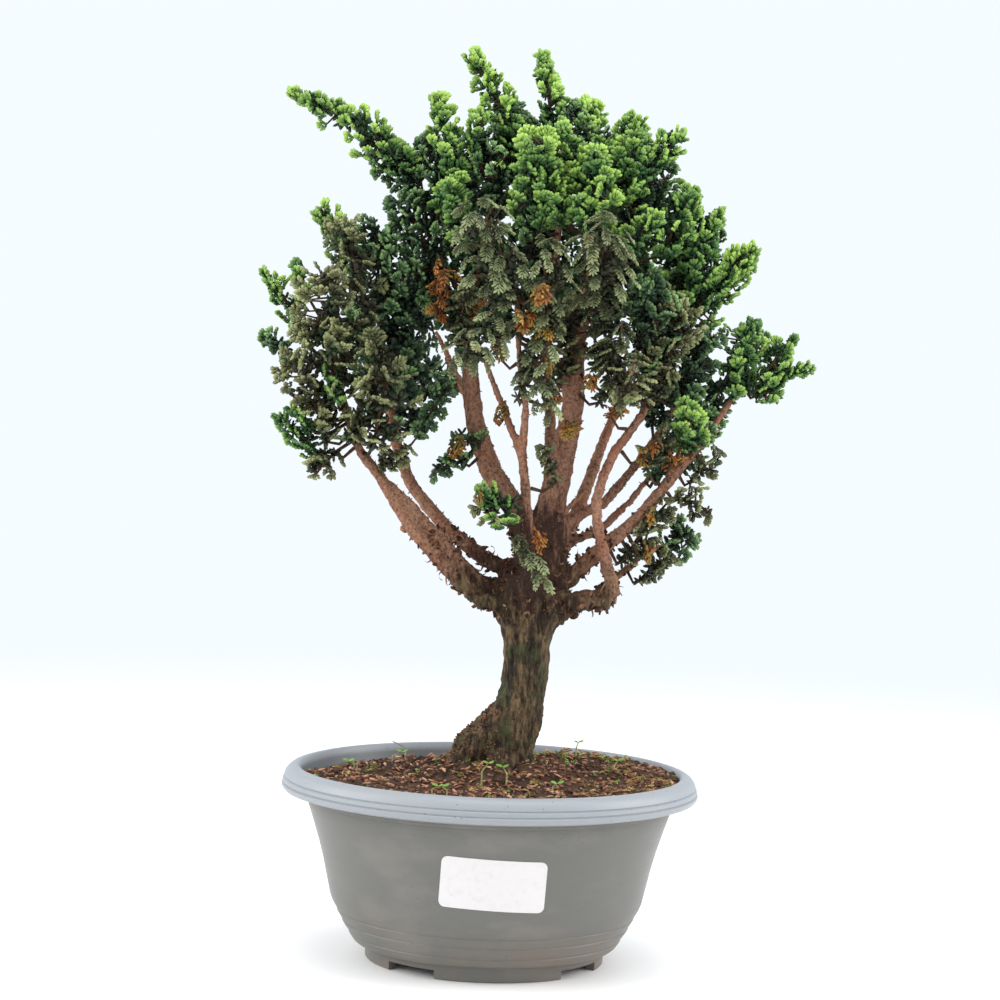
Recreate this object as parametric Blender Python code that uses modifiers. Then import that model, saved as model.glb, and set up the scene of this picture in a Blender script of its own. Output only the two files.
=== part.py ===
"""Hinoki cypress bonsai in a round plastic training pot.

Every size in the tables is in millimetres and is turned into metres by MM.
X runs to the right, Y away from the viewer and Z up. While the tree is being
modelled the pot's axis is at X = 0, Y = 0 and its feet stand at Z = 0. The last
step moves everything sideways, so that the origin is the bottom centre of the
whole object's bounding box.
"""

import math
import random

import bmesh
import bpy
from mathutils import Matrix, Vector
from mathutils.bvhtree import BVHTree

MM = 0.001
SEED = 4
CLEARANCE = 0.3

# Pot
POT_SEGMENTS = 32
POT_DEPTH_SHARE = 0.84
POT_OUTER = [
    (96.8, 95.5), (101.4, 93.2), (102.8, 88.6), (104.2, 87.0), (104.0, 83.6), (102.6, 82.0),
    (92.4, 79.8), (91.6, 76.0), (84.6, 58.0), (80.2, 40.0), (78.0, 29.4), (70.4, 16.4),
    (65.6, 9.4), (60.2, 7.6),
]
POT_INNER = [(62.0, 10.2), (73.6, 27.5), (82.0, 58.0), (91.4, 84.0), (94.8, 94.6)]
POT_FLOOR = 10.2
POT_UNDERSIDE = 6.4
FOOT_OUTER_RADIUS = 59.6
FOOT_INNER_RADIUS = 54.6
FOOT_TURN = 8.0
FOOT_NOTCH_HEIGHT = 4.4
FOOT_NOTCH_WIDTH = 28.0
FOOT_NOTCH_LENGTH = 150.0
FOOT_DRAFT = 1.0
DRAIN_RADIUS = 4.5
DRAIN_RING_RADIUS = 32.0
DRAIN_COUNT = 6
DRAIN_SEGMENTS = 8
DRAIN_CUTTER_DEPTH = 12.0

# Label stuck on the front of the pot
LABEL_WIDTH = 50.0
LABEL_HEIGHT = 25.4
LABEL_THICKNESS = 0.6
LABEL_CENTRE_Z = 51.8
LABEL_CENTRE_ANGLE = 0.036
LABEL_TILT = -0.02
LABEL_CORNER = 3.0
LABEL_COLUMNS = 8
LABEL_ROWS = 2

# Soil
SOIL_LEVEL = 92.0
SOIL_RADIUS = 93.4
SOIL_RINGS = 4
SOIL_MOUND = 9.5
SOIL_MOUND_SPREAD = 26.0
SOIL_MOUND_CENTRE = (2.0, -2.0)
SOIL_BANK = 5.0
SOIL_BANK_SPREAD = 30.0
SOIL_BANK_CENTRE = (52.0, 44.0)
SOIL_LUMP = 1.3
SOIL_WAVES = [(1.0, 0.17, 0.21, 1.3), (0.6, 0.37, 0.31, 0.0)]
SOIL_EDGE_POWER = 8
SOIL_WALL_GAP = 0.4
TRUNK_HOLE_GAP = 0.48

# Wood, from the root end to the tip. A branch is (thickest radius, thinnest radius, points)
TRUNK_POINTS = [
    (4.0, 0.0, 58.0), (5.0, 0.0, 95.0), (8.0, 0.0, 110.0), (12.5, 0.0, 123.0),
    (15.0, 0.0, 136.0), (16.0, 0.0, 148.0), (16.0, 0.0, 160.0), (16.0, 0.0, 170.0),
    (14.0, 0.0, 180.0), (16.0, 0.0, 192.0),
]
TRUNK_RADII = [11.0, 14.0, 14.2, 13.2, 11.3, 11.6, 12.0, 14.5, 17.0, 13.0]
ROOTS = {
    "left": ([(6, -1, 118), (-4, -3, 110), (-10, -4, 106), (-14, -5, 97), (-16, -5, 72)],
             [12.0, 10.5, 10.0, 8.5, 4.5]),
    "right": ([(8, 3, 106), (18, 9, 95), (28, 14, 82), (34, 18, 68)],
              [10.0, 6.4, 4.6, 3.0]),
    "front": ([(5, -4, 106), (5, -14, 95), (2, -22, 84), (-2, -28, 68)],
              [10.0, 7.0, 4.8, 3.0]),
}
BURL = ([(17, 0, 178), (22, 1, 196), (26, 3, 214), (28, 4, 228)], [13.0, 13.0, 10.0, 6.0])
HOOK = ([(22, -6, 180), (34, -13, 181), (47, -17, 182.5), (54, -18, 183), (56.5, -18, 189),
         (52, -18, 205), (48, -18, 220), (47, -18, 232), (50, -18, 244),
         (55, -17, 256), (66, -11, 271), (73, -6, 283), (80, 2, 317)],
        [6.2, 5.4, 5.0, 4.8, 4.2, 3.2, 3.0, 3.0, 2.9, 2.8, 2.4, 2.2, 1.5])
BRANCHES = {
    "left_low": (5.0, 1.8, [(12, -5, 179), (-7, -9, 179), (-23, -12, 194), (-43, -14, 215),
                            (-60, -14, 241), (-69, -13, 251), (-76, -12, 267),
                            (-84, -8, 296), (-85, -6, 314)]),
    "left_mid": (4.8, 2.8, [(12, -3, 186), (-8, -5, 188), (-18, -7, 197), (-26, -8, 207),
                            (-37, -10, 218), (-46, -12, 228), (-58, -14, 238)]),
    "left_back": (4.8, 1.8, [(11, 2, 192), (-7, 5, 200), (-25, 7, 213), (-38, 10, 227),
                             (-46, 12, 237), (-53, 15, 255), (-60, 18, 287),
                             (-63, 16, 312), (-67, 12, 334)]),
    "tall_left": (7.4, 2.0, [(17, 0, 188), (15, 2, 200), (10, 6, 222), (-6, 9, 245),
                             (-14, 9, 268), (-18, 9, 304), (-17, 8, 334), (-7, 4, 386)]),
    "far_plume": (2.6, 1.5, [(-18, 8, 318), (-28, 8, 340), (-38, 6, 356)]),
    "front_stem": (3.6, 1.6, [(16, -8, 190), (14, -18, 221), (10, -25, 255), (11, -28, 275),
                              (7, -33, 300), (4, -38, 330)]),
    "front_fork": (2.5, 1.4, [(10, -25, 252), (4, -20, 266), (-6, -12, 289), (-18, -8, 319)]),
    "centre": (8.8, 1.8, [(19, 2, 194), (21, 4, 210), (26, 4, 230), (32, 3, 261),
                          (35, 0, 281), (35, -8, 312), (40, -14, 332), (40, -16, 359),
                          (41, -12, 380)]),
    "centre_fork": (3.4, 1.6, [(34, 1, 275), (30, -2, 289), (20, -6, 309), (21, -6, 330),
                               (24, -5, 355), (23, 2, 391)]),
    "right_low": (5.2, 1.8, [(22, -3, 182), (33, -5, 189), (47, -7, 204), (69, -8, 224),
                             (86, -5, 246), (100, -1, 263), (113, 4, 283), (120, 7, 292)]),
    "right_mid": (3.8, 1.8, [(24, 2, 208), (41, 8, 224), (52, 13, 229), (65, 18, 245),
                             (82, 28, 269), (91, 33, 286)]),
    "right_inner": (3.4, 1.7, [(22, 4, 198), (39, 9, 211), (51, 13, 216), (66, 18, 231),
                               (78, 20, 247)]),
    "right_bottom": (3.6, 1.7, [(20, 0, 167), (32, 2, 171), (52, 8, 186), (67, 14, 198),
                                (81, 19, 212)]),
    "stub": (2.2, 1.6, [(26, -2, 216), (36, -10, 230), (42, -13, 236)]),
    "back_left": (5.0, 1.8, [(17, 5, 186), (9, 27, 213), (-4, 48, 247), (-21, 65, 283),
                             (-37, 76, 314)]),
    "back_right": (5.0, 1.8, [(22, 6, 187), (39, 30, 222), (52, 52, 258), (65, 68, 292),
                              (73, 76, 318)]),
    "back_centre": (4.6, 1.8, [(22, 6, 199), (25, 27, 244), (23, 42, 289), (19, 52, 332),
                               (13, 57, 366)]),
}
BRANCH_STEP = 20.0
THICK_TUBE = 6.0
TRUNK_SIDES = 12
BURL_SIDES = 10
THICK_SIDES = 8
THIN_SIDES = 6

# Foliage: (kind, branch that carries it, base of the leafy part, tip, widest radius)
SPRAYS = [
    # plume and crown on the left
    ("fresh", "far_plume", (-41, 4, 371), (-110, -8, 424), 15),
    ("fresh", "tall_left", (-27, -6, 384), (-44, -10, 430), 16),
    ("dark", "tall_left", (-23, 18, 355), (-28, 28, 413), 22),
    ("dark", "tall_left", (-27, 2, 318), (-54, -2, 379), 19),
    ("fresh", "tall_left", (-8, 4, 395), (-23, -4, 449), 15),
    ("fresh", "tall_left", (-19, -8, 356), (-31, -32, 382), 14),
    # crown in the middle and on the right
    ("dark", "tall_left", (1, 10, 391), (-1, 20, 432), 16),
    ("fresh", "centre_fork", (20, 4, 401), (12, 4, 451), 14),
    ("fresh", "centre_fork", (16, -20, 365), (10, -46, 407), 22),
    ("fresh", "centre", (40, 4, 394), (37, 28, 431), 18),
    ("fresh", "centre", (50, -2, 386), (63, 4, 425), 17),
    ("fresh", "centre", (49, -16, 378), (86, -20, 411), 18),
    ("dark", "centre", (52, 0, 357), (82, 14, 384), 19),
    # outer left
    ("fresh", "left_back", (-73, 6, 340), (-96, -4, 373), 17),
    ("fresh", "left_low", (-100, -10, 311), (-122, -16, 340), 13),
    ("dark", "left_low", (-103, -4, 293), (-124, 2, 307), 11),
    ("old", "left_low", (-79, -16, 290), (-89, -30, 344), 25),
    ("dark", "left_back", (-54, 8, 303), (-64, 0, 361), 24),
    ("old", "left_low", (-84, -26, 267), (-105, -38, 298), 22),
    ("dark", "left_back", (-47, 24, 262), (-48, 36, 307), 22),
    ("old", "left_low", (-62, -26, 256), (-55, -40, 295), 21),
    ("fresh", "left_low", (-90, -22, 251), (-112, -28, 268), 15),
    ("old", "left_low", (-82, -18, 244), (-93, -26, 227), 15),
    ("old", "left_low", (-58, -22, 246), (-42, -26, 256), 13),
    ("dark", "left_back", (-68, 24, 295), (-90, 46, 319), 21),
    ("dark", "left_back", (-42, 4, 260), (-25, -2, 288), 9),
    # middle front
    ("old", "front_stem", (-3, -42, 329), (-18, -60, 368), 23),
    ("old", "front_stem", (-4, -42, 311), (-24, -62, 294), 19),
    ("old", "front_stem", (12, -38, 302), (21, -58, 272), 15),
    ("old", "centre", (43, -27, 325), (45, -54, 362), 23),
    ("old", "centre", (46, -22, 306), (64, -42, 280), 18),
    ("fresh", "centre", (54, -26, 352), (73, -42, 372), 13),
    ("dark", "tall_left", (-3, 18, 315), (6, 34, 362), 22),
    ("dark", "centre", (49, 2, 315), (62, 14, 354), 20),
    # outer right
    ("fresh", "hook", (83, 4, 326), (90, 8, 390), 21),
    ("fresh", "hook", (89, -4, 322), (121, -10, 355), 18),
    ("dark", "hook", (70, -16, 297), (70, -32, 342), 20),
    ("dark", "hook", (86, 2, 282), (101, -8, 316), 17),
    ("dark", "right_low", (118, 14, 288), (122, 22, 324), 17),
    ("fresh", "right_low", (126, 4, 286), (152, 0, 302), 15),
    ("fresh", "right_low", (93, -10, 258), (88, -26, 283), 13),
    ("dark", "right_mid", (83, 26, 259), (108, 34, 276), 16),
    ("old", "right_low", (89, -9, 234), (106, -16, 225), 12),
    ("dark", "right_bottom", (82, 18, 205), (102, 12, 218), 14),
    ("dark", "right_inner", (84, 17, 249), (100, 8, 254), 12),
    # tufts low in the middle
    ("dark", "tall_left", (-20, 1, 248), (-36, -6, 239), 9),
    ("fresh", "front_stem", (5, -26, 223), (-12, -38, 234), 13),
    ("old", "front_stem", (9, -28, 211), (25, -40, 185), 9),
    ("dried", "left_back", (-42, -8, 295), (-35, -30, 324), 13),
    # back
    ("dark", "back_left", (-40, 80, 318), (-58, 90, 354), 24),
    ("dark", "back_left", (-26, 74, 285), (-54, 88, 298), 20),
    ("dark", "back_right", (75, 80, 323), (95, 86, 354), 22),
    ("old", "back_right", (64, 70, 282), (90, 84, 293), 20),
    ("fresh", "back_centre", (12, 60, 370), (4, 66, 420), 24),
    ("dark", "back_centre", (25, 58, 314), (42, 82, 342), 22),
    ("fresh", "back_right", (69, 66, 324), (57, 52, 373), 22),
]
SPRAY_ARCH = 0.14
CORE_SHARE = 0.15
CORE_STATIONS = [0.0, 0.45, 1.0]
CORE_PROFILE = [0.6, 1.0, 0.4]
CORE_TRIES = [1.0, 0.8, 0.6, 0.4]
CORE_SIDES = 4
STEM_RADIUS = 1.1
STEM_START_RADIUS = 0.8
SHORT_STEM = 4.0
TWIG_BACK = 6.0
SEAT_TRIES = 12
SEAT_STEP = 0.15
FROND_OUTLINE = [(1.0, 0.0), (0.82, 0.3), (0.74, 0.95), (0.0, 0.0), (0.74, -0.95), (0.82, -0.3)]
FROND_DROOP = 0.1
FROND_WIDTH = 1.6
FROND_THICKNESS = 0.14
FROND_LEAST = 1.6
FROND_MARGIN = 0.9
FROND_TRIES = [1.0, 0.88, 0.76, 0.64, 0.52]
FROND_COUNTS = (4, 6)
FROND_PER_MM = (0.042, 0.175)
FROND_TURNS = [0.0, 0.45, -0.45]
FROND_TURN_DRIFT = 0.35
FROND_FIRST = 0.08
FROND_LAST = 0.88
FROND_SPREAD = 0.66
FROND_ROLL = 0.5
TIP_FROND_SHARE = 0.75
TIP_FROND_SPREAD = 0.05
GOLDEN_TURN = 2.4

# Colour, roughness
FINISHES = {
    "pot_plastic": ((0.23, 0.25, 0.25), 0.5),
    "label_paper": ((0.86, 0.84, 0.82), 0.6),
    "soil": ((0.08, 0.045, 0.03), 0.95),
    "bark": ((0.24, 0.13, 0.09), 0.9),
    "foliage_fresh": ((0.15, 0.32, 0.04), 0.6),
    "foliage_dark": ((0.03, 0.10, 0.04), 0.6),
    "foliage_old": ((0.12, 0.14, 0.07), 0.7),
    "foliage_dried": ((0.36, 0.15, 0.03), 0.8),
}


def clear_scene():
    """Removes whatever the file held before."""
    for obj in list(bpy.data.objects):
        bpy.data.objects.remove(obj)


def make_finish(name):
    """One Principled material for each finish."""
    colour, roughness = FINISHES[name]
    material = bpy.data.materials.new(name)
    material.use_nodes = True
    shader = material.node_tree.nodes["Principled BSDF"]
    shader.inputs["Base Color"].default_value = (*colour, 1.0)
    shader.inputs["Roughness"].default_value = roughness
    shader.inputs["Metallic"].default_value = 0.0
    material.diffuse_color = (*colour, 1.0)
    return material


def new_mesh_object(name, mesh, collection):
    """An object for a mesh, linked to a collection."""
    obj = bpy.data.objects.new(name, mesh)
    collection.objects.link(obj)
    return obj


def helper(obj):
    """Marks an object that only cuts or joins."""
    obj.hide_render = True
    obj.display_type = "WIRE"
    return obj


def bmesh_object(name, bm, collection):
    """An object from a bmesh, which is then freed."""
    mesh = bpy.data.meshes.new(name)
    bm.to_mesh(mesh)
    bm.free()
    return new_mesh_object(name, mesh, collection)


def smooth_path(points, radii, step):
    """Points about step apart on a Catmull-Rom curve, with the radius at each."""
    given = [Vector(p) for p in points]
    ends = [2 * given[0] - given[1], *given, 2 * given[-1] - given[-2]]
    path, sizes = [], []
    for i in range(1, len(ends) - 2):
        p0, p1, p2, p3 = ends[i - 1:i + 3]
        parts = max(1, round((p2 - p1).length / step))
        for k in range(parts):
            t = k / parts
            path.append(0.5 * (2 * p1 + (p2 - p0) * t + (2 * p0 - 5 * p1 + 4 * p2 - p3) * t * t
                               + (3 * p1 - p0 - 3 * p2 + p3) * t ** 3))
            sizes.append(radii[i - 1] * (1 - t) + radii[i] * t)
    return path + [given[-1]], sizes + [radii[-1]]


def tapered(points, thick, thin):
    """Radii that fall evenly along the points, from thick to thin."""
    lengths = [0.0]
    for a, b in zip(points, points[1:]):
        lengths.append(lengths[-1] + (Vector(b) - Vector(a)).length)
    return [thick + (thin - thick) * s / lengths[-1] for s in lengths]


def tube(name, points, radii, collection, sides):
    """A closed round mesh along the points, from a bevelled curve."""
    curve = bpy.data.curves.new(name, "CURVE")
    curve.dimensions = "3D"
    curve.twist_mode = "MINIMUM"
    curve.bevel_depth = MM
    curve.bevel_resolution = (sides - 4) // 2
    curve.use_fill_caps = True
    spline = curve.splines.new("POLY")
    spline.points.add(len(points) - 1)
    for slot, point, radius in zip(spline.points, points, radii):
        slot.co = (*(Vector(point) * MM), 1.0)
        slot.radius = radius
    guide = new_mesh_object(name + "_line", curve, collection)
    bpy.context.view_layer.update()
    graph = bpy.context.evaluated_depsgraph_get()
    mesh = bpy.data.meshes.new_from_object(guide.evaluated_get(graph))
    bpy.data.objects.remove(guide)
    bm = bmesh.new()
    bm.from_mesh(mesh)
    bmesh.ops.remove_doubles(bm, verts=bm.verts, dist=0.01 * MM)
    bmesh.ops.recalc_face_normals(bm, faces=bm.faces)
    bm.to_mesh(mesh)
    bm.free()
    return new_mesh_object(name, mesh, collection)


def union(base, collection):
    """Joins every object of the collection to base, and removes them."""
    modifier = base.modifiers.new("join", "BOOLEAN")
    modifier.operation = "UNION"
    modifier.operand_type = "COLLECTION"
    modifier.collection = collection
    modifier.solver = "MANIFOLD"
    apply_modifiers(base)
    for obj in list(collection.objects):
        bpy.data.objects.remove(obj)
    return base


def apply_modifiers(obj):
    """Replaces an object's mesh by what its modifiers make of it."""
    bpy.context.view_layer.update()
    graph = bpy.context.evaluated_depsgraph_get()
    mesh = bpy.data.meshes.new_from_object(obj.evaluated_get(graph))
    obj.modifiers.clear()
    obj.data = mesh
    mesh.name = obj.name


def cut(base, cutter):
    """Takes a cutter's shape out of base."""
    modifier = base.modifiers.new("cut_" + cutter.name, "BOOLEAN")
    modifier.operation = "DIFFERENCE"
    modifier.object = cutter
    return modifier


def finish(obj, material, angle=40.0):
    """Gives a piece its material and smooth shading up to an edge angle."""
    obj.data.materials.clear()
    obj.data.materials.append(material)
    obj.data.shade_smooth()
    obj.data.set_sharp_from_angle(angle=math.radians(angle))
    return obj


def turned(name, profile, collection, segments):
    """A profile in the XZ plane turned about Z."""
    bm = bmesh.new()
    verts = [bm.verts.new((r * MM, 0.0, z * MM)) for r, z in profile]
    for a, b in zip(verts, verts[1:]):
        bm.edges.new((a, b))
    obj = bmesh_object(name, bm, collection)
    screw = obj.modifiers.new("turn", "SCREW")
    screw.axis = "Z"
    screw.angle = math.tau
    screw.steps = segments
    screw.render_steps = segments
    screw.use_merge_vertices = True
    screw.merge_threshold = 0.00005
    apply_modifiers(obj)
    return obj


def make_oval(obj):
    """Narrows a round piece from front to back, as the pot is."""
    obj.data.transform(Matrix.Diagonal((1.0, POT_DEPTH_SHARE, 1.0, 1.0)))
    return obj


def pot_radius_at(height):
    """The radius of the pot's outer wall at a height."""
    for (r1, z1), (r2, z2) in zip(POT_OUTER, POT_OUTER[1:]):
        if z2 <= height <= z1:
            return r1 + (r2 - r1) * (z1 - height) / (z1 - z2)
    return POT_OUTER[-1][0]


def build_pot(parts, helpers):
    """The turned shell, with notches between its feet and drain holes."""
    profile = [(0.0, POT_FLOOR), *POT_INNER, *POT_OUTER,
               (FOOT_OUTER_RADIUS, 0.0),
               (FOOT_INNER_RADIUS, 0.0), (FOOT_INNER_RADIUS - FOOT_DRAFT, POT_UNDERSIDE),
               (0.0, POT_UNDERSIDE)]
    pot = turned("pot", profile, parts, POT_SEGMENTS)
    for angle in (45.0 + FOOT_TURN, 135.0 + FOOT_TURN):
        bm = bmesh.new()
        bmesh.ops.create_cube(bm, size=1.0)
        size = Vector((FOOT_NOTCH_LENGTH, FOOT_NOTCH_WIDTH, 2 * FOOT_NOTCH_HEIGHT)) * MM
        bmesh.ops.scale(bm, vec=size, verts=bm.verts)
        bmesh.ops.rotate(bm, matrix=Matrix.Rotation(math.radians(angle), 3, "Z"), verts=bm.verts)
        cut(pot, helper(bmesh_object(f"notch_cutter_{int(angle)}", bm, helpers)))
    for k in range(DRAIN_COUNT):
        turn = math.tau * k / DRAIN_COUNT
        place = Vector((math.cos(turn), math.sin(turn), 0.0)) * DRAIN_RING_RADIUS * MM
        place.z = POT_FLOOR * MM
        bm = bmesh.new()
        bmesh.ops.create_cone(bm, cap_ends=True, segments=DRAIN_SEGMENTS,
                              radius1=DRAIN_RADIUS * MM, radius2=DRAIN_RADIUS * MM,
                              depth=DRAIN_CUTTER_DEPTH * MM,
                              matrix=Matrix.Translation(place))
        cut(pot, helper(bmesh_object(f"drain_cutter_{k}", bm, helpers)))
    apply_modifiers(pot)
    for obj in list(helpers.objects):
        bpy.data.objects.remove(obj)
    return make_oval(pot)


def build_label(parts):
    """A sticker with round corners, bent round the pot's sloping wall."""
    bm = bmesh.new()
    bmesh.ops.create_grid(bm, x_segments=LABEL_COLUMNS, y_segments=LABEL_ROWS, size=1.0)
    half_w, half_h = LABEL_WIDTH / 2, LABEL_HEIGHT / 2
    corner = 1.0 - math.sqrt(0.5)
    for vert in bm.verts:
        x, y = vert.co.x, vert.co.y
        inset = LABEL_CORNER * corner if abs(x) > 0.999 and abs(y) > 0.999 else 0.0
        along = math.copysign(abs(x) * half_w - inset, x)
        up = math.copysign(abs(y) * half_h - inset, y)
        turned_along = along * math.cos(LABEL_TILT) - up * math.sin(LABEL_TILT)
        height = LABEL_CENTRE_Z + along * math.sin(LABEL_TILT) + up * math.cos(LABEL_TILT)
        radius = pot_radius_at(height) + CLEARANCE / POT_DEPTH_SHARE
        angle = LABEL_CENTRE_ANGLE + turned_along / pot_radius_at(LABEL_CENTRE_Z)
        vert.co = Vector((math.sin(angle) * radius, -math.cos(angle) * radius, height)) * MM
        vert.co.y *= POT_DEPTH_SHARE
    bmesh.ops.recalc_face_normals(bm, faces=bm.faces)
    outward = sum((f.normal.y for f in bm.faces), 0.0) < 0
    if not outward:
        bmesh.ops.reverse_faces(bm, faces=bm.faces)
    label = bmesh_object("pot_label", bm, parts)
    shell = label.modifiers.new("thickness", "SOLIDIFY")
    shell.thickness = LABEL_THICKNESS * MM
    shell.offset = 1.0
    apply_modifiers(label)
    return label


def soil_height(x, y):
    """The soil's surface: a mound at the trunk, a mossy bank at the back right and low lumps."""
    mound_away = math.dist((x, y), SOIL_MOUND_CENTRE) / SOIL_MOUND_SPREAD
    bank_away = math.dist((x, y), SOIL_BANK_CENTRE) / SOIL_BANK_SPREAD
    lumps = SOIL_LUMP * sum(share * math.sin(x * along + y * across + phase)
                            for share, along, across, phase in SOIL_WAVES)
    outward = math.hypot(x, y / POT_DEPTH_SHARE) / SOIL_RADIUS
    rise = SOIL_MOUND * math.exp(-mound_away ** 2) + SOIL_BANK * math.exp(-bank_away ** 2) + lumps
    return SOIL_LEVEL + rise * max(0.0, 1.0 - outward ** SOIL_EDGE_POWER)


def build_soil(parts, helpers):
    """The soil fills the pot and has a plain hole where the trunk and its roots stand."""
    wall = [(r - SOIL_WALL_GAP, z + CLEARANCE) for r, z in POT_INNER[:-1]]
    top = [(SOIL_RADIUS * k / SOIL_RINGS, SOIL_LEVEL) for k in range(SOIL_RINGS + 1)]
    profile = [*top, *wall[::-1], (0.0, POT_FLOOR + CLEARANCE)]
    soil = make_oval(turned("soil", profile, parts, POT_SEGMENTS))
    for vert in soil.data.vertices:
        if abs(vert.co.z - SOIL_LEVEL * MM) < 0.01 * MM:
            vert.co.z = soil_height(vert.co.x / MM, vert.co.y / MM) * MM
    limbs = [("trunk", (TRUNK_POINTS, TRUNK_RADII), TRUNK_SIDES, 0, 1)]
    limbs += [(name, root, THICK_SIDES, -1, -2) for name, root in ROOTS.items()]
    holes = []
    for name, (points, radii), sides, low, above in limbs:
        path, sizes = smooth_path(points, radii, BRANCH_STEP)
        path[low] = path[low] + (path[low] - path[above]).normalized() * 2 * CLEARANCE
        sizes = [size + TRUNK_HOLE_GAP for size in sizes]
        holes.append(tube(name + "_hole", path, sizes, helpers, sides))
    union(holes[0], collection_of(holes[1:], "root_holes"))
    cut(soil, helper(holes[0]))
    apply_modifiers(soil)
    bpy.data.objects.remove(holes[0])
    return soil


def collection_of(objects, name):
    """Moves the objects to a collection of their own."""
    collection = bpy.data.collections.new(name)
    bpy.context.scene.collection.children.link(collection)
    for obj in objects:
        for old in list(obj.users_collection):
            old.objects.unlink(obj)
        collection.objects.link(obj)
    return collection


def bezier(start, middle, end, t):
    """A point on a quadratic curve."""
    return start * (1 - t) ** 2 + middle * 2 * t * (1 - t) + end * t ** 2


def spray_line(base, tip):
    """The leafy stem's curve as a function of 0 to 1: it rises first and then leans over."""
    start, end = Vector(base), Vector(tip)
    length = (end - start).length
    middle = (start + end) / 2 + Vector((0.0, 0.0, 1.0)) * SPRAY_ARCH * length
    return lambda t: bezier(start, middle, end, t)


def wood_lines():
    """Every branch as (points, radii), by name, already smooth."""
    lines = {name: smooth_path(points, tapered(points, thick, thin), BRANCH_STEP)
             for name, (thick, thin, points) in BRANCHES.items()}
    lines["hook"] = smooth_path(*HOOK, BRANCH_STEP)
    return lines


def build_wood(parts, helpers, lines):
    """Trunk, roots, burl and branches, joined in one body."""
    path, sizes = smooth_path(TRUNK_POINTS, TRUNK_RADII, BRANCH_STEP)
    wood = tube("trunk_and_branches", path, sizes, parts, TRUNK_SIDES)
    limbs = []
    for name, (points, radii) in ROOTS.items():
        limbs.append(tube(name, *smooth_path(points, radii, BRANCH_STEP), helpers, THICK_SIDES))
    limbs.append(tube("burl", *smooth_path(*BURL, BRANCH_STEP), helpers, BURL_SIDES))
    for name, (points, radii) in lines.items():
        sides = THICK_SIDES if radii[0] > THICK_TUBE else THIN_SIDES
        limbs.append(tube(name, points, radii, helpers, sides))
    return union(wood, collection_of(limbs, "limbs"))


def leaving_point(line, base):
    """Where a spray's twig leaves its branch: a little nearer the root than the spray."""
    points, radii = line
    nearest = min(range(len(points)), key=lambda i: (points[i] - base).length)
    if nearest == len(points) - 1 and (base - points[-1]).dot(points[-1] - points[-2]) > 0.0:
        return points[-1], radii[-1], True
    back = max(1, nearest)
    run = points[back] - points[back - 1]
    reach = (base - points[back - 1]).dot(run) / run.length_squared
    share = min(1.0, max(0.1, reach - TWIG_BACK / run.length))
    return points[back - 1] + run * share, radii[back - 1], False


def stem_points(line, base, spray):
    """The spray's stem from its branch's surface to its tip, without the first point."""
    origin, radius, at_end = leaving_point(line, base)
    towards = (base - origin).normalized()
    offset = CLEARANCE if at_end else radius * 0.9 + CLEARANCE
    return origin, towards, offset, [spray(t) for t in CORE_STATIONS]


def seated_core(name, line, base, spray, radius, collection, solids):
    """A slim leafy core that starts as near its branch as it can without touching it."""
    origin, towards, offset, leafy = stem_points(line, base, spray)
    for scale in CORE_TRIES:
        widest = CORE_SHARE * radius * scale
        leafy_radii = [max(STEM_RADIUS, widest * share) for share in CORE_PROFILE]
        for k in range(SEAT_TRIES):
            start = origin + towards * (offset + k * SEAT_STEP)
            points, radii = [start, *leafy], [STEM_START_RADIUS, *leafy_radii]
            if (leafy[0] - start).dot(towards) < SHORT_STEM:
                points, radii = [start, *leafy[1:]], [STEM_START_RADIUS, *leafy_radii[1:]]
            core = tube(name, points, radii, collection, CORE_SIDES)
            if not any(solid.overlap(bvh_of(core.data)) for solid in solids):
                return core
            bpy.data.objects.remove(core)
    raise ValueError(f"{name} finds no free seat near {base}")


def frond_mesh(length, width, thickness):
    """A fan-shaped frond with three lobes, thickest at its middle, pointing along +X."""
    bm = bmesh.new()
    bmesh.ops.create_uvsphere(bm, u_segments=len(FROND_OUTLINE), v_segments=2, radius=1.0)
    sector = math.tau / len(FROND_OUTLINE)
    for vert in bm.verts:
        if abs(vert.co.z) > 0.5:
            vert.co = Vector((0.5 * length, 0.0, math.copysign(thickness / 2, vert.co.z)))
            continue
        along, across = FROND_OUTLINE[round(math.atan2(vert.co.y, vert.co.x) / sector)]
        vert.co = Vector((along * length, across * width / 2, -FROND_DROOP * along * length))
    bmesh.ops.scale(bm, vec=(MM, MM, MM), verts=bm.verts)
    return bm


def bvh_of(shape):
    """A search tree of a bmesh or a mesh."""
    if isinstance(shape, bmesh.types.BMesh):
        return BVHTree.FromBMesh(shape)
    return BVHTree.FromPolygons([v.co.copy() for v in shape.vertices],
                                [list(p.vertices) for p in shape.polygons])


def frond_placements(spray, radius, rng):
    """Where a spray's fronds grow: turning round the stem, longest at its middle, and a tip."""
    length = (spray(1.0) - spray(0.0)).length
    wished = round(length * FROND_PER_MM[0] + radius * FROND_PER_MM[1])
    count = max(FROND_COUNTS[0], min(FROND_COUNTS[1], wished))
    for k in range(count):
        share = FROND_FIRST + (FROND_LAST - FROND_FIRST) * k / (count - 1)
        turn = k * GOLDEN_TURN + rng.uniform(-FROND_TURN_DRIFT, FROND_TURN_DRIFT)
        swell = math.sin(math.pi * (0.14 + 0.74 * share)) ** 0.6
        roll = rng.uniform(-FROND_ROLL, FROND_ROLL)
        reach = radius * (0.84 + 0.6 * swell) * rng.uniform(0.9, 1.1)
        yield share, turn, roll, reach, FROND_SPREAD
    yield TIP_FROND_SHARE, 0.0, 0.0, min(radius * 1.3, 0.45 * length), TIP_FROND_SPREAD


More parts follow.
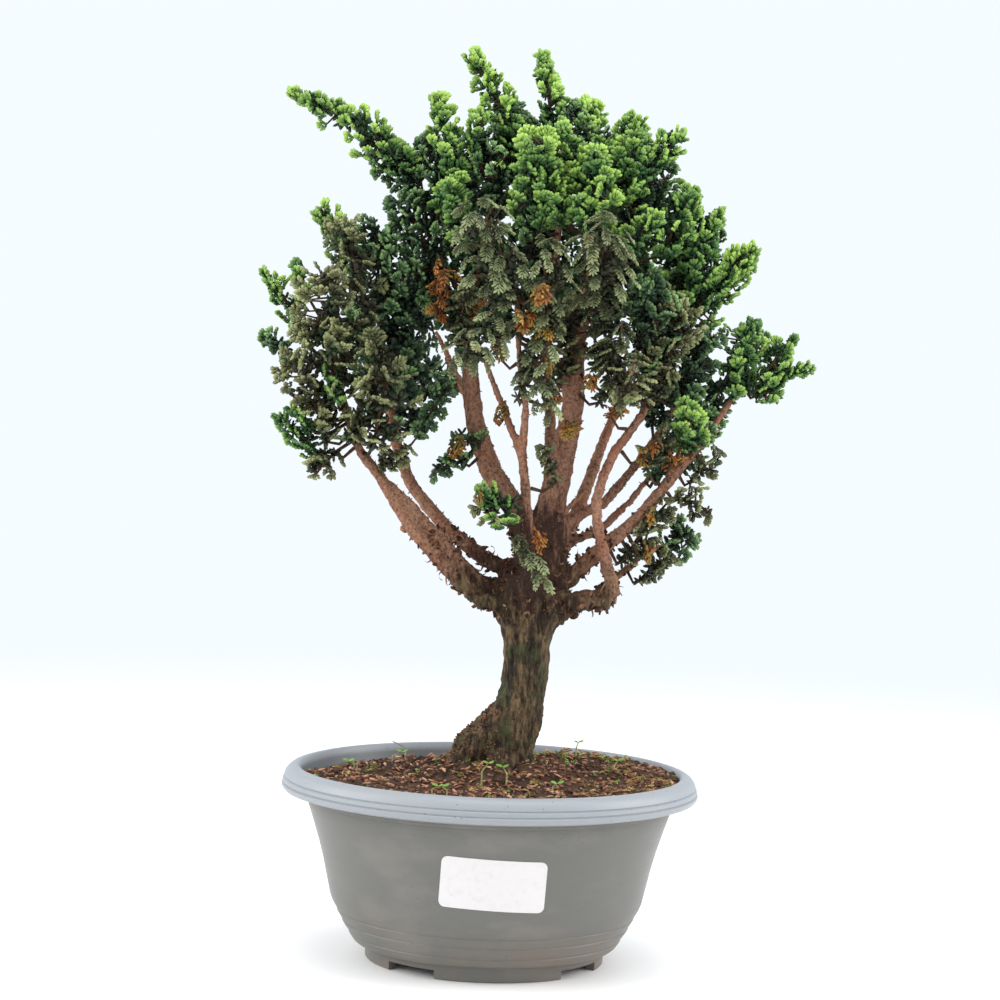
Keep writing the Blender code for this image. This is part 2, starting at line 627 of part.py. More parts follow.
def frond_matrix(spray, share, turn, roll, spread):
    """Places a frond on the stem: spread is how far it leans out from the stem's direction."""
    along = (spray(min(1.0, share + 0.03)) - spray(max(0.0, share - 0.03))).normalized()
    up = Vector((0.0, 0.0, 1.0)) if abs(along.z) < 0.92 else Vector((0.0, -1.0, 0.0))
    side = along.cross(up).normalized()
    over = side.cross(along).normalized()
    out = side * math.cos(turn) + over * math.sin(turn)
    pointing = (along * (1.0 - 0.5 * spread) + out * spread).normalized()
    across = pointing.cross(over if spread == TIP_FROND_SPREAD else along).normalized()
    normal = pointing.cross(across)
    frame = Matrix((pointing, across, normal)).transposed().to_4x4()
    return Matrix.Translation(spray(share) * MM) @ frame @ Matrix.Rotation(roll, 4, "X")


def grow_frond(name, spray, stance, reach, taken):
    """The largest frond that keeps clear of every other piece, or None."""
    share, turn, roll, spread = stance
    others = [solid for other, solid in taken if other != name]
    for scale in FROND_TRIES:
        size = reach * scale
        thickness = max(FROND_LEAST, size * FROND_THICKNESS)
        for extra in FROND_TURNS:
            place = frond_matrix(spray, share, turn + extra, roll, spread)
            trial = frond_mesh(size + FROND_MARGIN, size * FROND_WIDTH + FROND_MARGIN,
                               thickness + FROND_MARGIN)
            trial.transform(place)
            tree = bvh_of(trial)
            trial.free()
            if any(tree.overlap(solid) for solid in others):
                continue
            frond = frond_mesh(size, size * FROND_WIDTH, thickness)
            frond.transform(place)
            taken.append((name, bvh_of(frond)))
            return frond
    return None


def build_sprays(parts, helpers, wood, lines):
    """One node for each leafy spray, whose fronds keep clear of the other pieces."""
    rng = random.Random(SEED)
    counters = {kind: 0 for kind, *_ in SPRAYS}
    stems = []
    taken = [("wood", bvh_of(wood.data))]
    for kind, carrier, base, tip, radius in SPRAYS:
        counters[kind] += 1
        name = f"{kind}_spray_{counters[kind]:02d}"
        spray = spray_line(base, tip)
        solids = [solid for _, solid in taken]
        core = seated_core(name, lines[carrier], Vector(base), spray, radius, parts, solids)
        stems.append((name, kind, spray, radius, core))
        taken.append((name, bvh_of(core.data)))
    grown, wanted = 0, 0
    for name, kind, spray, radius, core in stems:
        fronds = []
        for share, turn, roll, reach, spread in frond_placements(spray, radius, rng):
            wanted += 1
            frond = grow_frond(name, spray, (share, turn, roll, spread), reach, taken)
            if frond:
                fronds.append(bmesh_object(f"{name}_frond_{len(fronds)}", frond, helpers))
        grown += len(fronds)
        union(core, collection_of(fronds, name + "_fronds"))
        yield core, kind
    print("fronds:", grown, "of", wanted)


def stand_on_origin(objects):
    """Moves every piece so that the bounding box is centred over the origin."""
    corners = [v.co for obj in objects for v in obj.data.vertices]
    middle = [(min(c[i] for c in corners) + max(c[i] for c in corners)) / 2 for i in (0, 1)]
    shift = Matrix.Translation((-middle[0], -middle[1], 0.0))
    for obj in objects:
        obj.data.transform(shift)
    print("pot axis at", [round(-m / MM, 2) for m in middle], "mm")


def main():
    """Builds the pot, its label, the soil, the wood and the foliage."""
    clear_scene()
    parts = collection_of([], "hinoki_cypress_bonsai")
    helpers = collection_of([], "helpers")
    finishes = {name: make_finish(name) for name in FINISHES}
    lines = wood_lines()
    wood = build_wood(parts, helpers, lines)
    pieces = [finish(build_pot(parts, helpers), finishes["pot_plastic"]),
              finish(build_label(parts), finishes["label_paper"]),
              finish(build_soil(parts, helpers), finishes["soil"]),
              finish(wood, finishes["bark"], 60.0)]
    for spray, kind in build_sprays(parts, helpers, wood, lines):
        pieces.append(finish(spray, finishes["foliage_" + kind]))
    stand_on_origin(pieces)
    for piece in pieces:
        print(piece.name, len(piece.data.polygons))


main()
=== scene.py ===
"""Looks of a hinoki cypress bonsai in a grey plastic training pot.

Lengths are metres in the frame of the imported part, +Z up and -Y towards the viewer, and MM
turns millimetres into metres. The frame gives the pot's axis, the label's place, the wood's
shape and the soil's height. The plumes and seedlings are placed from the pot's axis.
"""

import logging
import math
import random
from contextlib import contextmanager
from dataclasses import dataclass, field
from enum import Enum
from typing import Callable, Iterator, Optional, Sequence, Union

import bpy
import numpy as np
from mathutils import Matrix, Vector, noise
from mathutils.bvhtree import BVHTree


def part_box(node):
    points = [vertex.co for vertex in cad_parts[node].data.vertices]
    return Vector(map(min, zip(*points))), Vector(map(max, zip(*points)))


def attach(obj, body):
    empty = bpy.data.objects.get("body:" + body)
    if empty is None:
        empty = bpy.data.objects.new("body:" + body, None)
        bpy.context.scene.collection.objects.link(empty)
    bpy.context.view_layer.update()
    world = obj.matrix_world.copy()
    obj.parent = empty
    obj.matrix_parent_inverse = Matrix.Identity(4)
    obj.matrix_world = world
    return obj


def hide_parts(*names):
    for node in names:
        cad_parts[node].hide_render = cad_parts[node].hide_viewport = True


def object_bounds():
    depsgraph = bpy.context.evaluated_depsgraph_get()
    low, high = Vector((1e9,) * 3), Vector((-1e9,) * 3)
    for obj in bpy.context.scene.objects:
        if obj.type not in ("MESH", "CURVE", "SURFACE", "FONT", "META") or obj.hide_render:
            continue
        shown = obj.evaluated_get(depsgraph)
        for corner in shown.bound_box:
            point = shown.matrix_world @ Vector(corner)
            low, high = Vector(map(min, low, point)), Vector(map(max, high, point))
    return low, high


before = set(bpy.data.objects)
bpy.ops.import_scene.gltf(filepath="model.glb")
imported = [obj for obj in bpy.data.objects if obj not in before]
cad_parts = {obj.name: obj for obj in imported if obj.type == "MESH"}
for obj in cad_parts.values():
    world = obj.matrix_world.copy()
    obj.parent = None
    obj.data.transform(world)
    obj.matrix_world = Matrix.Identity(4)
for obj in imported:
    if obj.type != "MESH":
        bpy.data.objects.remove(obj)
CAD_BOX = [list(corner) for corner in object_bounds()]

log = logging.getLogger("bonsai")
MM = 0.001
BODY = "root"
UP = Vector((0.0, 0.0, 1.0))
LEAF_TURN = 2.4

Object = bpy.types.Object
Material = bpy.types.Material
Triple = tuple[float, float, float]
Colour = tuple[int, int, int]


def shade(colour: Colour) -> Triple:
    """Turns a screen colour of 0 to 255 into linear light of 0 to 1."""
    return tuple(((c / 255 + 0.055) / 1.055) ** 2.4 if c > 10 else c / 3295 for c in colour)


class Value:
    """A number, vector or colour that flows between nodes."""

    def __init__(self, shader: "Shader", socket: bpy.types.NodeSocket) -> None:
        """Keeps the shader and the output socket."""
        self.shader = shader
        self.socket = socket

    def maths(self, operation: str, first: "Input", second: "Input") -> "Value":
        """The result of one Math node."""
        return self.shader.node("ShaderNodeMath", {"operation": operation}, {0: first, 1: second})

    def __add__(self, other: "Input") -> "Value":
        """The sum."""
        return self.maths("ADD", self, other)

    def __sub__(self, other: "Input") -> "Value":
        """The difference."""
        return self.maths("SUBTRACT", self, other)

    def __rsub__(self, other: "Input") -> "Value":
        """The difference from a number."""
        return self.maths("SUBTRACT", other, self)

    def __mul__(self, other: "Input") -> "Value":
        """The product."""
        return self.maths("MULTIPLY", self, other)

    def rise(self, low: float, high: float) -> "Value":
        """A smooth step from 0 at the low number to 1 at the high one."""
        return self.shader.node("ShaderNodeMapRange", {"interpolation_type": "SMOOTHSTEP"},
                                {"Value": self, "From Min": low, "From Max": high})


Input = Union[float, Sequence[float], Value]


@dataclass(frozen=True)
class Patches:
    """Noise over a surface, and the range of it where another colour shows.

    A metre holds so many lumps with so many finer layers. The colour starts to show at the
    low number and shows with its full strength from the high one.
    """

    per_metre: float
    detail: float
    low: float = 0.0
    high: float = 1.0
    strength: float = 1.0
    stretch: Triple = (1.0, 1.0, 1.0)
    roughness: float = 0.55


class Shader:
    """One material, whose nodes are made by a single method."""

    def __init__(self, name: str) -> None:
        """Starts a material with a Principled surface.

        Args:
            name: The material's name.
        """
        self.material = bpy.data.materials.new(name)
        self.material.use_nodes = True
        self.tree = self.material.node_tree
        self.place = self.node("ShaderNodeTexCoord", output="Object")

    def node(self, kind: str, settings: Optional[dict] = None, inputs: Optional[dict] = None,
             output: Union[int, str] = 0) -> Value:
        """Makes a node.

        Args:
            kind: The node's type.
            settings: Its own settings, and a colour ramp's stops as (place, colour) pairs.
            inputs: The value, colour or link for each of its sockets.
            output: Which of its results is wanted.

        Returns:
            The wanted result.
        """
        node = self.tree.nodes.new(kind)
        for key, setting in (settings or {}).items():
            if key != "stops":
                setattr(node, key, setting)
                continue
            stops = node.color_ramp.elements
            while len(stops) < len(setting):
                stops.new(1.0)
            for stop, (place, colour) in zip(stops, setting):
                stop.position = place
                stop.color = (*shade(colour), 1.0)
        for key, value in (inputs or {}).items():
            self.feed(node.inputs[key], value)
        return Value(self, node.outputs[output])

    def feed(self, socket: bpy.types.NodeSocket, value: Input) -> None:
        """Links a value to a socket, or sets the socket's own number, vector or screen colour.

        Args:
            socket: The socket.
            value: What it takes.
        """
        if isinstance(value, Value):
            self.tree.links.new(value.socket, socket)
        elif socket.type == "RGBA":
            socket.default_value = (*shade(value), 1.0)
        else:
            socket.default_value = value

    def cloud(self, look: Patches) -> Value:
        """Noise over the surface.

        Args:
            look: Its lumps, layers and stretch.

        Returns:
            A number of 0 to 1.
        """
        spot = self.node("ShaderNodeMapping", inputs={"Vector": self.place, "Scale": look.stretch})
        return self.node("ShaderNodeTexNoise", inputs={
            "Vector": spot, "Scale": look.per_metre, "Detail": look.detail, "Roughness": look.roughness})

    def patches(self, look: Patches) -> Value:
        """Where the patches of a noise show, 0 to 1."""
        return self.cloud(look).rise(look.low, look.high)

    def specks(self, per_metre: float, core: float, edge: float) -> Value:
        """Scattered specks, 1 within the core's radius and 0 past the edge's."""
        cells = self.node("ShaderNodeTexVoronoi", inputs={"Vector": self.place, "Scale": per_metre})
        return 1.0 - cells.rise(core, edge)

    def vector(self, operation: str, *inputs: Input) -> Value:
        """The result of one Vector Math node: a number for a length or a distance."""
        output = "Value" if operation in ("LENGTH", "DISTANCE") else "Vector"
        return self.node("ShaderNodeVectorMath", {"operation": operation}, dict(enumerate(inputs)), output)

    def height(self) -> Value:
        """The height above the floor, in metres."""
        return self.node("ShaderNodeSeparateXYZ", inputs={"Vector": self.place}, output="Z")

    def attribute(self, name: str) -> Value:
        """A number that the mesh keeps at each point."""
        return self.node("ShaderNodeAttribute", {"attribute_name": name}, output="Fac")

    def ramp(self, factor: Value, *stops: tuple[float, Colour]) -> Value:
        """A colour ramp of the factor."""
        return self.node("ShaderNodeValToRGB", {"stops": stops}, {"Fac": factor})

    def mix(self, factor: Input, first: Input, second: Input) -> Value:
        """Blends two colours by a factor."""
        return self.node("ShaderNodeMix", {"data_type": "RGBA"},
                         {"Factor": factor, 6: first, 7: second}, output=2)

    def bump(self, height: Value, depth: float, strength: float = 1.0) -> Value:
        """A relief as deep as depth, in metres."""
        return self.node("ShaderNodeBump",
                         inputs={"Height": height, "Distance": depth, "Strength": strength})

    def surface(self, **inputs: Input) -> Material:
        """Feeds the Principled surface.

        Args:
            **inputs: Its sockets by name, with _ for each space.

        Returns:
            The finished material.
        """
        principled = self.tree.nodes["Principled BSDF"]
        for key, value in inputs.items():
            self.feed(principled.inputs[key.replace("_", " ")], value)
        return self.material


@dataclass(frozen=True)
class PlasticFinish:
    """Moulded grey plastic with dust, splashes of earth and fine specks.

    The axis, the share of depth and the lip's radius tell the inner wall from the outer one; the inside of
    the rim takes a darker colour than its outside, as painted shade.
    """

    axis: Triple
    depth_share: float
    lip: float
    name: str = "grey_pot_plastic"
    body: Colour = (94, 93, 88)
    rim: Colour = (144, 148, 152)
    # painted shade: the darker colour of the inside of the rim
    inner: Colour = (92, 95, 98)
    dust: Colour = (158, 150, 141)
    earth: Colour = (112, 98, 84)
    speck: Colour = (66, 68, 68)
    lip_blur: float = 0.5 * MM
    inner_shade_from: tuple[float, float] = (82.0 * MM, 84.0 * MM)
    rim_from: tuple[float, float] = (81.5 * MM, 83.8 * MM)
    earth_to: tuple[float, float] = (4.0 * MM, 40.0 * MM)
    smears: Patches = Patches(26.0, 5.0, 0.47, 0.74, 0.22, (1.0, 1.0, 2.2))
    splashes: Patches = Patches(40.0, 4.0, 0.32, 0.66, 0.7)
    speck_cells: Triple = (420.0, 0.10, 0.19)
    speck_areas: Patches = Patches(90.0, 1.0, 0.55, 0.62, 0.7)
    scuffs: Patches = Patches(120.0, 4.0, stretch=(0.35, 0.35, 4.0))
    pores: Patches = Patches(900.0, 2.0, strength=0.4)
    relief: float = 0.12 * MM

    def make(self) -> Material:
        """Makes the material.

        Returns:
            The material.
        """
        shader = Shader(self.name)
        height = shader.height()
        colour = shader.mix(height.rise(*self.rim_from), self.body, self.rim)
        spot = shader.vector("SUBTRACT", shader.place, self.axis)
        away = shader.vector("LENGTH", shader.vector("MULTIPLY", spot, (1.0, 1.0 / self.depth_share, 0.0)))
        within = 1.0 - away.rise(self.lip - self.lip_blur, self.lip + self.lip_blur)
        # Painted shade: the inside of the rim is darker than its outside.
        colour = shader.mix(within * height.rise(*self.inner_shade_from), colour, self.inner)
        smears = shader.patches(self.smears)
        colour = shader.mix(smears * self.smears.strength, colour, self.dust)
        low = (1.0 - height.rise(*self.earth_to)) * shader.patches(self.splashes)
        colour = shader.mix(low * self.splashes.strength, colour, self.earth)
        sparse = shader.specks(*self.speck_cells) * shader.patches(self.speck_areas)
        colour = shader.mix(sparse * self.speck_areas.strength, colour, self.speck)
        scuffs = shader.cloud(self.scuffs)
        grain = scuffs + shader.cloud(self.pores) * self.pores.strength
        return shader.surface(Base_Color=colour, Normal=shader.bump(grain, self.relief, 0.5),
                              Roughness=smears * 0.22 + scuffs * 0.12 + 0.42,
                              Coat_Weight=0.35, Coat_Roughness=0.35)


@dataclass(frozen=True)
class PaperFinish:
    """White sticker paper, a little uneven."""

    name: str = "white_label_paper"
    clean: Colour = (217, 213, 212)
    worn: Colour = (209, 205, 202)
    fibres: Patches = Patches(300.0, 4.0, 0.45, 0.8)
    relief: float = 0.05 * MM

    def make(self) -> Material:
        """Makes the material.

        Returns:
            The material.
        """
        shader = Shader(self.name)
        fibres = shader.cloud(self.fibres)
        colour = shader.mix(fibres.rise(self.fibres.low, self.fibres.high), self.clean, self.worn)
        return shader.surface(Base_Color=colour, Roughness=fibres * 0.15 + 0.45,
                              Normal=shader.bump(fibres, self.relief, 0.4))


@dataclass(frozen=True)
class BarkFinish:
    """Furrowed olive-brown bark on the trunk that turns pinkish brown along the branches."""

    name: str = "cypress_bark"
    furrow: Colour = (22, 16, 12)
    middle: Colour = (60, 48, 34)
    ridge: Colour = (114, 93, 66)
    young: Colour = (162, 120, 96)
    young_dark: Colour = (84, 54, 42)
    # painted shade at the fork of the trunk under the crown
    crotch_shade: Colour = (44, 27, 20)
    red: Colour = (128, 70, 48)
    ochre: Colour = (176, 124, 62)
    green: Colour = (58, 70, 40)
    crotch_place: Triple = (-3.0 * MM, -22.0 * MM, 204.0 * MM)
    crotch_reach: float = 40.0 * MM
    crotch_strength: float = 0.92
    young_from: tuple[float, float] = (172.0 * MM, 215.0 * MM)
    young_sway: float = 40.0 * MM
    furrows: Patches = Patches(240.0, 6.0, strength=0.6, stretch=(1.0, 1.0, 0.2), roughness=0.65)
    strands: Patches = Patches(640.0, 4.0, strength=0.4, stretch=(1.0, 1.0, 0.3))
    grit: Patches = Patches(700.0, 4.0, strength=0.8)
    algae: Patches = Patches(50.0, 3.0, 0.48, 0.62, 0.75)
    blush: Patches = Patches(38.0, 3.0, 0.46, 0.66, 0.45)
    flake_cells: Triple = (330.0, 0.14, 0.3)
    flake_areas: Patches = Patches(30.0, 2.0, 0.48, 0.6, 0.7)
    sway: Patches = Patches(35.0, 2.0)
    relief: float = 1.3 * MM

    def make(self) -> Material:
        """Makes the material.

        Returns:
            The material.
        """
        shader = Shader(self.name)
        grain = (shader.cloud(self.furrows) * self.furrows.strength
                 + shader.cloud(self.strands) * self.strands.strength)
        fine = shader.cloud(self.grit)
        old = shader.ramp(grain, (0.40, self.furrow), (0.49, self.middle), (0.61, self.ridge))
        green = shader.patches(self.algae) * grain.rise(0.35, 0.6)
        old = shader.mix(green * self.algae.strength, old, self.green)
        new = shader.ramp(fine * 0.6 + grain * 0.4, (0.35, self.young_dark), (0.56, self.young))
        new = shader.mix(shader.patches(self.blush) * self.blush.strength, new, self.red)
        flakes = shader.specks(*self.flake_cells) * shader.patches(self.flake_areas)
        new = shader.mix(flakes * self.flake_areas.strength, new, self.ochre)
        height = shader.height() + (shader.cloud(self.sway) - 0.5) * self.young_sway
        colour = shader.mix(height.rise(*self.young_from), old, new)
        # Painted shade: a dark patch with a ragged edge round the fork of the trunk under the crown.
        away = shader.vector("DISTANCE", shader.place, self.crotch_place)
        crotch_shade_mask = 1.0 - (away * (1.0 / self.crotch_reach) + (grain - 0.5) * 1.8).rise(0.4, 1.0)
        colour = shader.mix(crotch_shade_mask * self.crotch_strength, colour, self.crotch_shade)
        return shader.surface(Base_Color=colour, Roughness=0.86 - grain * 0.1, Specular_IOR_Level=0.25,
                              Normal=shader.bump(grain + fine * self.grit.strength, self.relief, 0.9))


@dataclass(frozen=True)
class LeafFinish:
    """Scale leaves that run from a deep colour at the twig to a bright one at their tips.

    The mesh gives two numbers: tip, how far out along its fan a knob sits, and tone, how
    young its fan is, to which painted light is added: fans on the crown's outside and top and facing up are
    lighter, those inside darker. Patches of the stray colour start at the stray level.
    """

    name: str
    deep: Colour
    middle: Colour
    bright: Colour
    stray: Colour
    stray_level: float = 0.62
    stray_edge: float = 0.08
    stray_areas: Patches = Patches(75.0, 2.0, strength=0.55)
    patches: Patches = Patches(55.0, 3.0, strength=0.36)
    grain: Patches = Patches(1500.0, 2.0)
    relief: float = 0.15 * MM

    def make(self) -> Material:
        """Makes the material.

        Returns:
            The material.
        """
        shader = Shader(self.name)
        patches = shader.cloud(self.patches) * self.patches.strength
        age = shader.attribute("tip") * 0.42 + shader.attribute("tone") * 0.45 + patches - 0.12
        colour = shader.ramp(age, (0.12, self.deep), (0.52, self.middle), (0.92, self.bright))
        stray = shader.cloud(self.stray_areas).rise(self.stray_level, self.stray_level + self.stray_edge)
        colour = shader.mix(stray * self.stray_areas.strength, colour, self.stray)
        grain = shader.cloud(self.grain)
        return shader.surface(Base_Color=colour, Roughness=0.62 - grain * 0.16, Specular_IOR_Level=0.35,
                              Normal=shader.bump(grain, self.relief, 0.5))


@dataclass(frozen=True)
class EarthFinish:
    """Peat, bark or dry leaf litter, whose colour runs by the tone of each bit."""

    name: str
    dark: Colour
    middle: Colour
    light: Colour
    lumps: float = 260.0
    grit: Patches = Patches(1400.0, 3.0, strength=0.5)
    relief: float = 0.5 * MM

    def make(self) -> Material:
        """Makes the material.

        Returns:
            The material.
        """
        shader = Shader(self.name)
        grain = shader.cloud(Patches(self.lumps, 6.0))
        age = grain * 0.6 + shader.attribute("tone") * 0.5 - 0.05
        colour = shader.ramp(age, (0.2, self.dark), (0.5, self.middle), (0.82, self.light))
        grit = shader.cloud(self.grit) * self.grit.strength
        return shader.surface(Base_Color=colour, Roughness=0.95 - grain * 0.12, Specular_IOR_Level=0.2,
                              Normal=shader.bump(grain + grit, self.relief))


@dataclass(frozen=True)
class FloorFinish:
    """A pale floor that fades out with distance."""

    name: str = "pale_floor"
    colour: Colour = (250, 247, 244)
    solid_to: float = 0.35
    gone_at: float = 1.3

    def make(self) -> Material:
        """Makes the material.

        Returns:
            The material.
        """
        shader = Shader(self.name)
        away = shader.vector("LENGTH", shader.place)
        return shader.surface(Base_Color=self.colour, Roughness=0.6,
                              Alpha=1.0 - away.rise(self.solid_to, self.gone_at))


class Kind(Enum):
    """The kinds of leafy spray: four ages, and the drooping fern-like ones among the old."""

    FRESH = "fresh"
    DARK = "dark"
    OLD = "old"
    FERN = "fern"
    DRIED = "dried"


LEAF_FINISHES: dict[Kind, LeafFinish] = {
    Kind.FRESH: LeafFinish("fresh_leaf", (26, 48, 30), (78, 118, 60), (164, 198, 92), (62, 116, 74)),
    Kind.DARK: LeafFinish("dark_leaf", (26, 42, 30), (68, 96, 62), (134, 168, 102), (66, 64, 40)),
    Kind.OLD: LeafFinish("old_leaf", (38, 38, 26), (96, 98, 62), (156, 160, 108), (52, 82, 54), 0.56),
    Kind.FERN: LeafFinish("fern_leaf", (42, 46, 31), (98, 106, 69), (162, 172, 122), (112, 92, 46)),
    Kind.DRIED: LeafFinish("dried_leaf", (70, 36, 18), (150, 88, 34), (194, 146, 62), (116, 112, 48),
                           0.5),
}


def deselect() -> None:
    """Leaves nothing selected, in object mode."""
    bpy.ops.object.select_all(action="DESELECT")


def pick(obj: Object) -> None:
    """Selects one object alone and makes it active.

    Args:
        obj: The object.
    """
    deselect()
    obj.select_set(True)
    bpy.context.view_layer.objects.active = obj


def named(name: str) -> Object:
    """Names the active object and its mesh.

    Args:
        name: The name for both.

    Returns:
        The object.
    """
    obj = bpy.context.active_object
    obj.name = name
    obj.data.name = name
    return obj


def settle(obj: Object, stretch: Optional[Sequence[float]] = None) -> Object:
    """Puts an object's place, turn and size into its mesh.

    Args:
        obj: The object.
        stretch: A scale to give it first.

    Returns:
        The object.
    """
    pick(obj)
    if stretch:
        obj.scale = stretch
    bpy.ops.object.transform_apply(location=True, rotation=True, scale=True)
    return obj


def shape(add: Callable, name: str, stretch: Optional[Sequence[float]] = None,
          **settings: object) -> Object:
    """Adds a simple shape and settles it.

    Args:
        add: The operator that adds it.
        name: The object's name.
        stretch: A scale along the shape's own axes.
        **settings: The operator's settings.

    Returns:
        The object.
    """
    deselect()
    add(**settings)
    return settle(named(name), stretch)


@contextmanager
def editing(obj: Object, everything: bool = True) -> Iterator[None]:
    """Opens an object's mesh for editing, and closes it after.

    Args:
        obj: The object.
        everything: Whether all of the mesh is selected first.

    Yields:
        Nothing.
    """
    pick(obj)
    bpy.ops.object.mode_set(mode="EDIT")
    if everything:
        bpy.ops.mesh.select_all(action="SELECT")
    yield
    bpy.ops.object.mode_set(mode="OBJECT")


def face_out() -> None:
    """Turns every face of the mesh being edited outwards."""
    bpy.ops.mesh.select_all(action="SELECT")
    bpy.ops.mesh.normals_make_consistent(inside=False)


def apply_modifier(obj: Object, kind: str, **settings: object) -> None:
    """Adds a modifier and applies it.

    Args:
        obj: The object.
        kind: The modifier's type.
        **settings: Its settings.
    """
    pick(obj)
    modifier = obj.modifiers.new(kind.lower(), kind)
    for key, setting in settings.items():
        setattr(modifier, key, setting)
    bpy.ops.object.modifier_apply(modifier=modifier.name)


def join(objects: list[Object], name: str) -> Object:
    """Joins objects in one mesh.

    Args:
        objects: The objects.
        name: The name of the whole.

    Returns:
        The whole.
    """
    pick(objects[0])
    for obj in objects:
        obj.select_set(True)
    bpy.ops.object.join()
    return named(name)


def smooth(obj: Object, angle: float) -> None:
    """Shades an object smooth up to an edge angle in degrees."""
    pick(obj)
    bpy.ops.object.shade_smooth_by_angle(angle=math.radians(angle))


def linked(name: str, data: bpy.types.ID) -> Object:
    """Puts a mesh, curve, lamp or camera into the scene.

    Args:
        name: The object's name.
        data: What the object holds.

    Returns:
        The object.
    """
    obj = bpy.data.objects.new(name, data)
    bpy.context.scene.collection.objects.link(obj)
    return obj


def dress(obj: Object, material: Material) -> Object:
    """Gives a piece its material and its body.

    Args:
        obj: The piece.
        material: Its material.

    Returns:
        The piece.
    """
    obj.data.materials.clear()
    obj.data.materials.append(material)
    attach(obj, BODY)
    log.info("%s: %d faces", obj.name, len(obj.data.polygons))
    return obj


def tree_of(obj: Object) -> BVHTree:
    """A search tree of an object's faces."""
    return BVHTree.FromPolygons([v.co for v in obj.data.vertices],
                                [list(p.vertices) for p in obj.data.polygons])


def aim(place: Vector, along: Vector, across: Vector, scale: float) -> Matrix:
    """A placement whose X runs along one direction and whose Y lies near another.

    Args:
        place: Where the origin goes.
        along: The direction of X.
        across: A direction near that of Y.
        scale: The size.

    Returns:
        The placement.
    """
    x = along.normalized()
    z = x.cross(across)
    if z.length < 1e-6:
        z = x.orthogonal()
    z.normalize()
    y = z.cross(x)
    return Matrix.Translation(place) @ (Matrix((x, y, z)).transposed() * scale).to_4x4()


def stray(rng: random.Random, reach: float) -> Vector:
    """A random vector, whose parts each lie within a reach of 0."""
    return Vector([rng.uniform(-reach, reach) for _ in range(3)])


def lumps(x: float, y: float, per_metre: float, level: float) -> float:
    """Noise of -1 to 1 with so many lumps a metre along X and Y, at a level of its own."""
    return noise.noise(Vector((x * per_metre, y * per_metre, level)))


@dataclass(frozen=True)
class Mould:
    """A small modelled shape that is set out many times."""

    points: np.ndarray
    triangles: np.ndarray
    tips: np.ndarray

    @classmethod
    def of(cls, obj: Object) -> "Mould":
        """Reads an object's mesh and removes the object.

        Args:
            obj: The modelled shape, which may keep a number named tip at each point.

        Returns:
            Its mould.
        """
        mesh = obj.data
        mesh.calc_loop_triangles()
        points = np.array([v.co for v in mesh.vertices])
        triangles = np.array([t.vertices for t in mesh.loop_triangles])
        tips = np.zeros(len(points), np.float32)
        if "tip" in mesh.attributes:
            mesh.attributes["tip"].data.foreach_get("value", tips)
        bpy.data.objects.remove(obj)
        return cls(points, triangles, tips)


@dataclass
class Setting:
    """Where the copies of some moulds go, and the tone of each."""

    moulds: list[Mould]
    which: list[int] = field(default_factory=list)
    places: list[Matrix] = field(default_factory=list)
    tones: list[float] = field(default_factory=list)
    box_gap: float = 0.1 * MM

    def add(self, which: int, place: Matrix, tone: float) -> None:
        """Adds one copy.

        Args:
            which: The mould's place in the list.
            place: Where the copy goes.
            tone: How light it is.
        """
        self.which.append(which)
        self.places.append(place)
        self.tones.append(tone)

    def build(self, name: str, inside: bool = False) -> Object:
        """Makes one mesh of all the copies.

        Args:
            name: The object's name.
            inside: Whether points past the solid part's box are pulled back to it.

        Returns:
            The object, with the numbers tip and tone at its points.
        """
        points, triangles, tips, tones, count = [], [], [], [], 0
        which, places = np.array(self.which), np.array(self.places)
        for index, mould in enumerate(self.moulds):
            chosen = np.flatnonzero(which == index)
            if not len(chosen):
                continue
            turned = np.einsum("nij,pj->npi", places[chosen, :3, :3], mould.points)
            turned += places[chosen, None, :3, 3]
            size = len(mould.points)
            starts = count + size * np.arange(len(chosen))
            points.append(turned.reshape(-1, 3))
            triangles.append((mould.triangles[None] + starts[:, None, None]).reshape(-1, 3))
            tips.append(np.tile(mould.tips, len(chosen)))
            tones.append(np.repeat(np.array(self.tones)[chosen], size))
            count += size * len(chosen)
        points, triangles = np.concatenate(points), np.concatenate(triangles)
        if inside:
            low, high = np.array(CAD_BOX)
            points = np.clip(points, low + self.box_gap, high - self.box_gap)
        mesh = bpy.data.meshes.new(name)
        mesh.vertices.add(len(points))
        mesh.vertices.foreach_set("co", points.astype(np.float32).ravel())
        mesh.loops.add(triangles.size)
        mesh.loops.foreach_set("vertex_index", triangles.astype(np.int32).ravel())
        mesh.polygons.add(len(triangles))
        mesh.polygons.foreach_set("loop_start", np.arange(0, triangles.size, 3, dtype=np.int32))
        for key, numbers in (("tip", tips), ("tone", tones)):
            layer = mesh.attributes.new(key, "FLOAT", "POINT")
            layer.data.foreach_set("value", np.concatenate(numbers).astype(np.float32))
        mesh.update(calc_edges=True)
        mesh.shade_smooth()
        return linked(name, mesh)


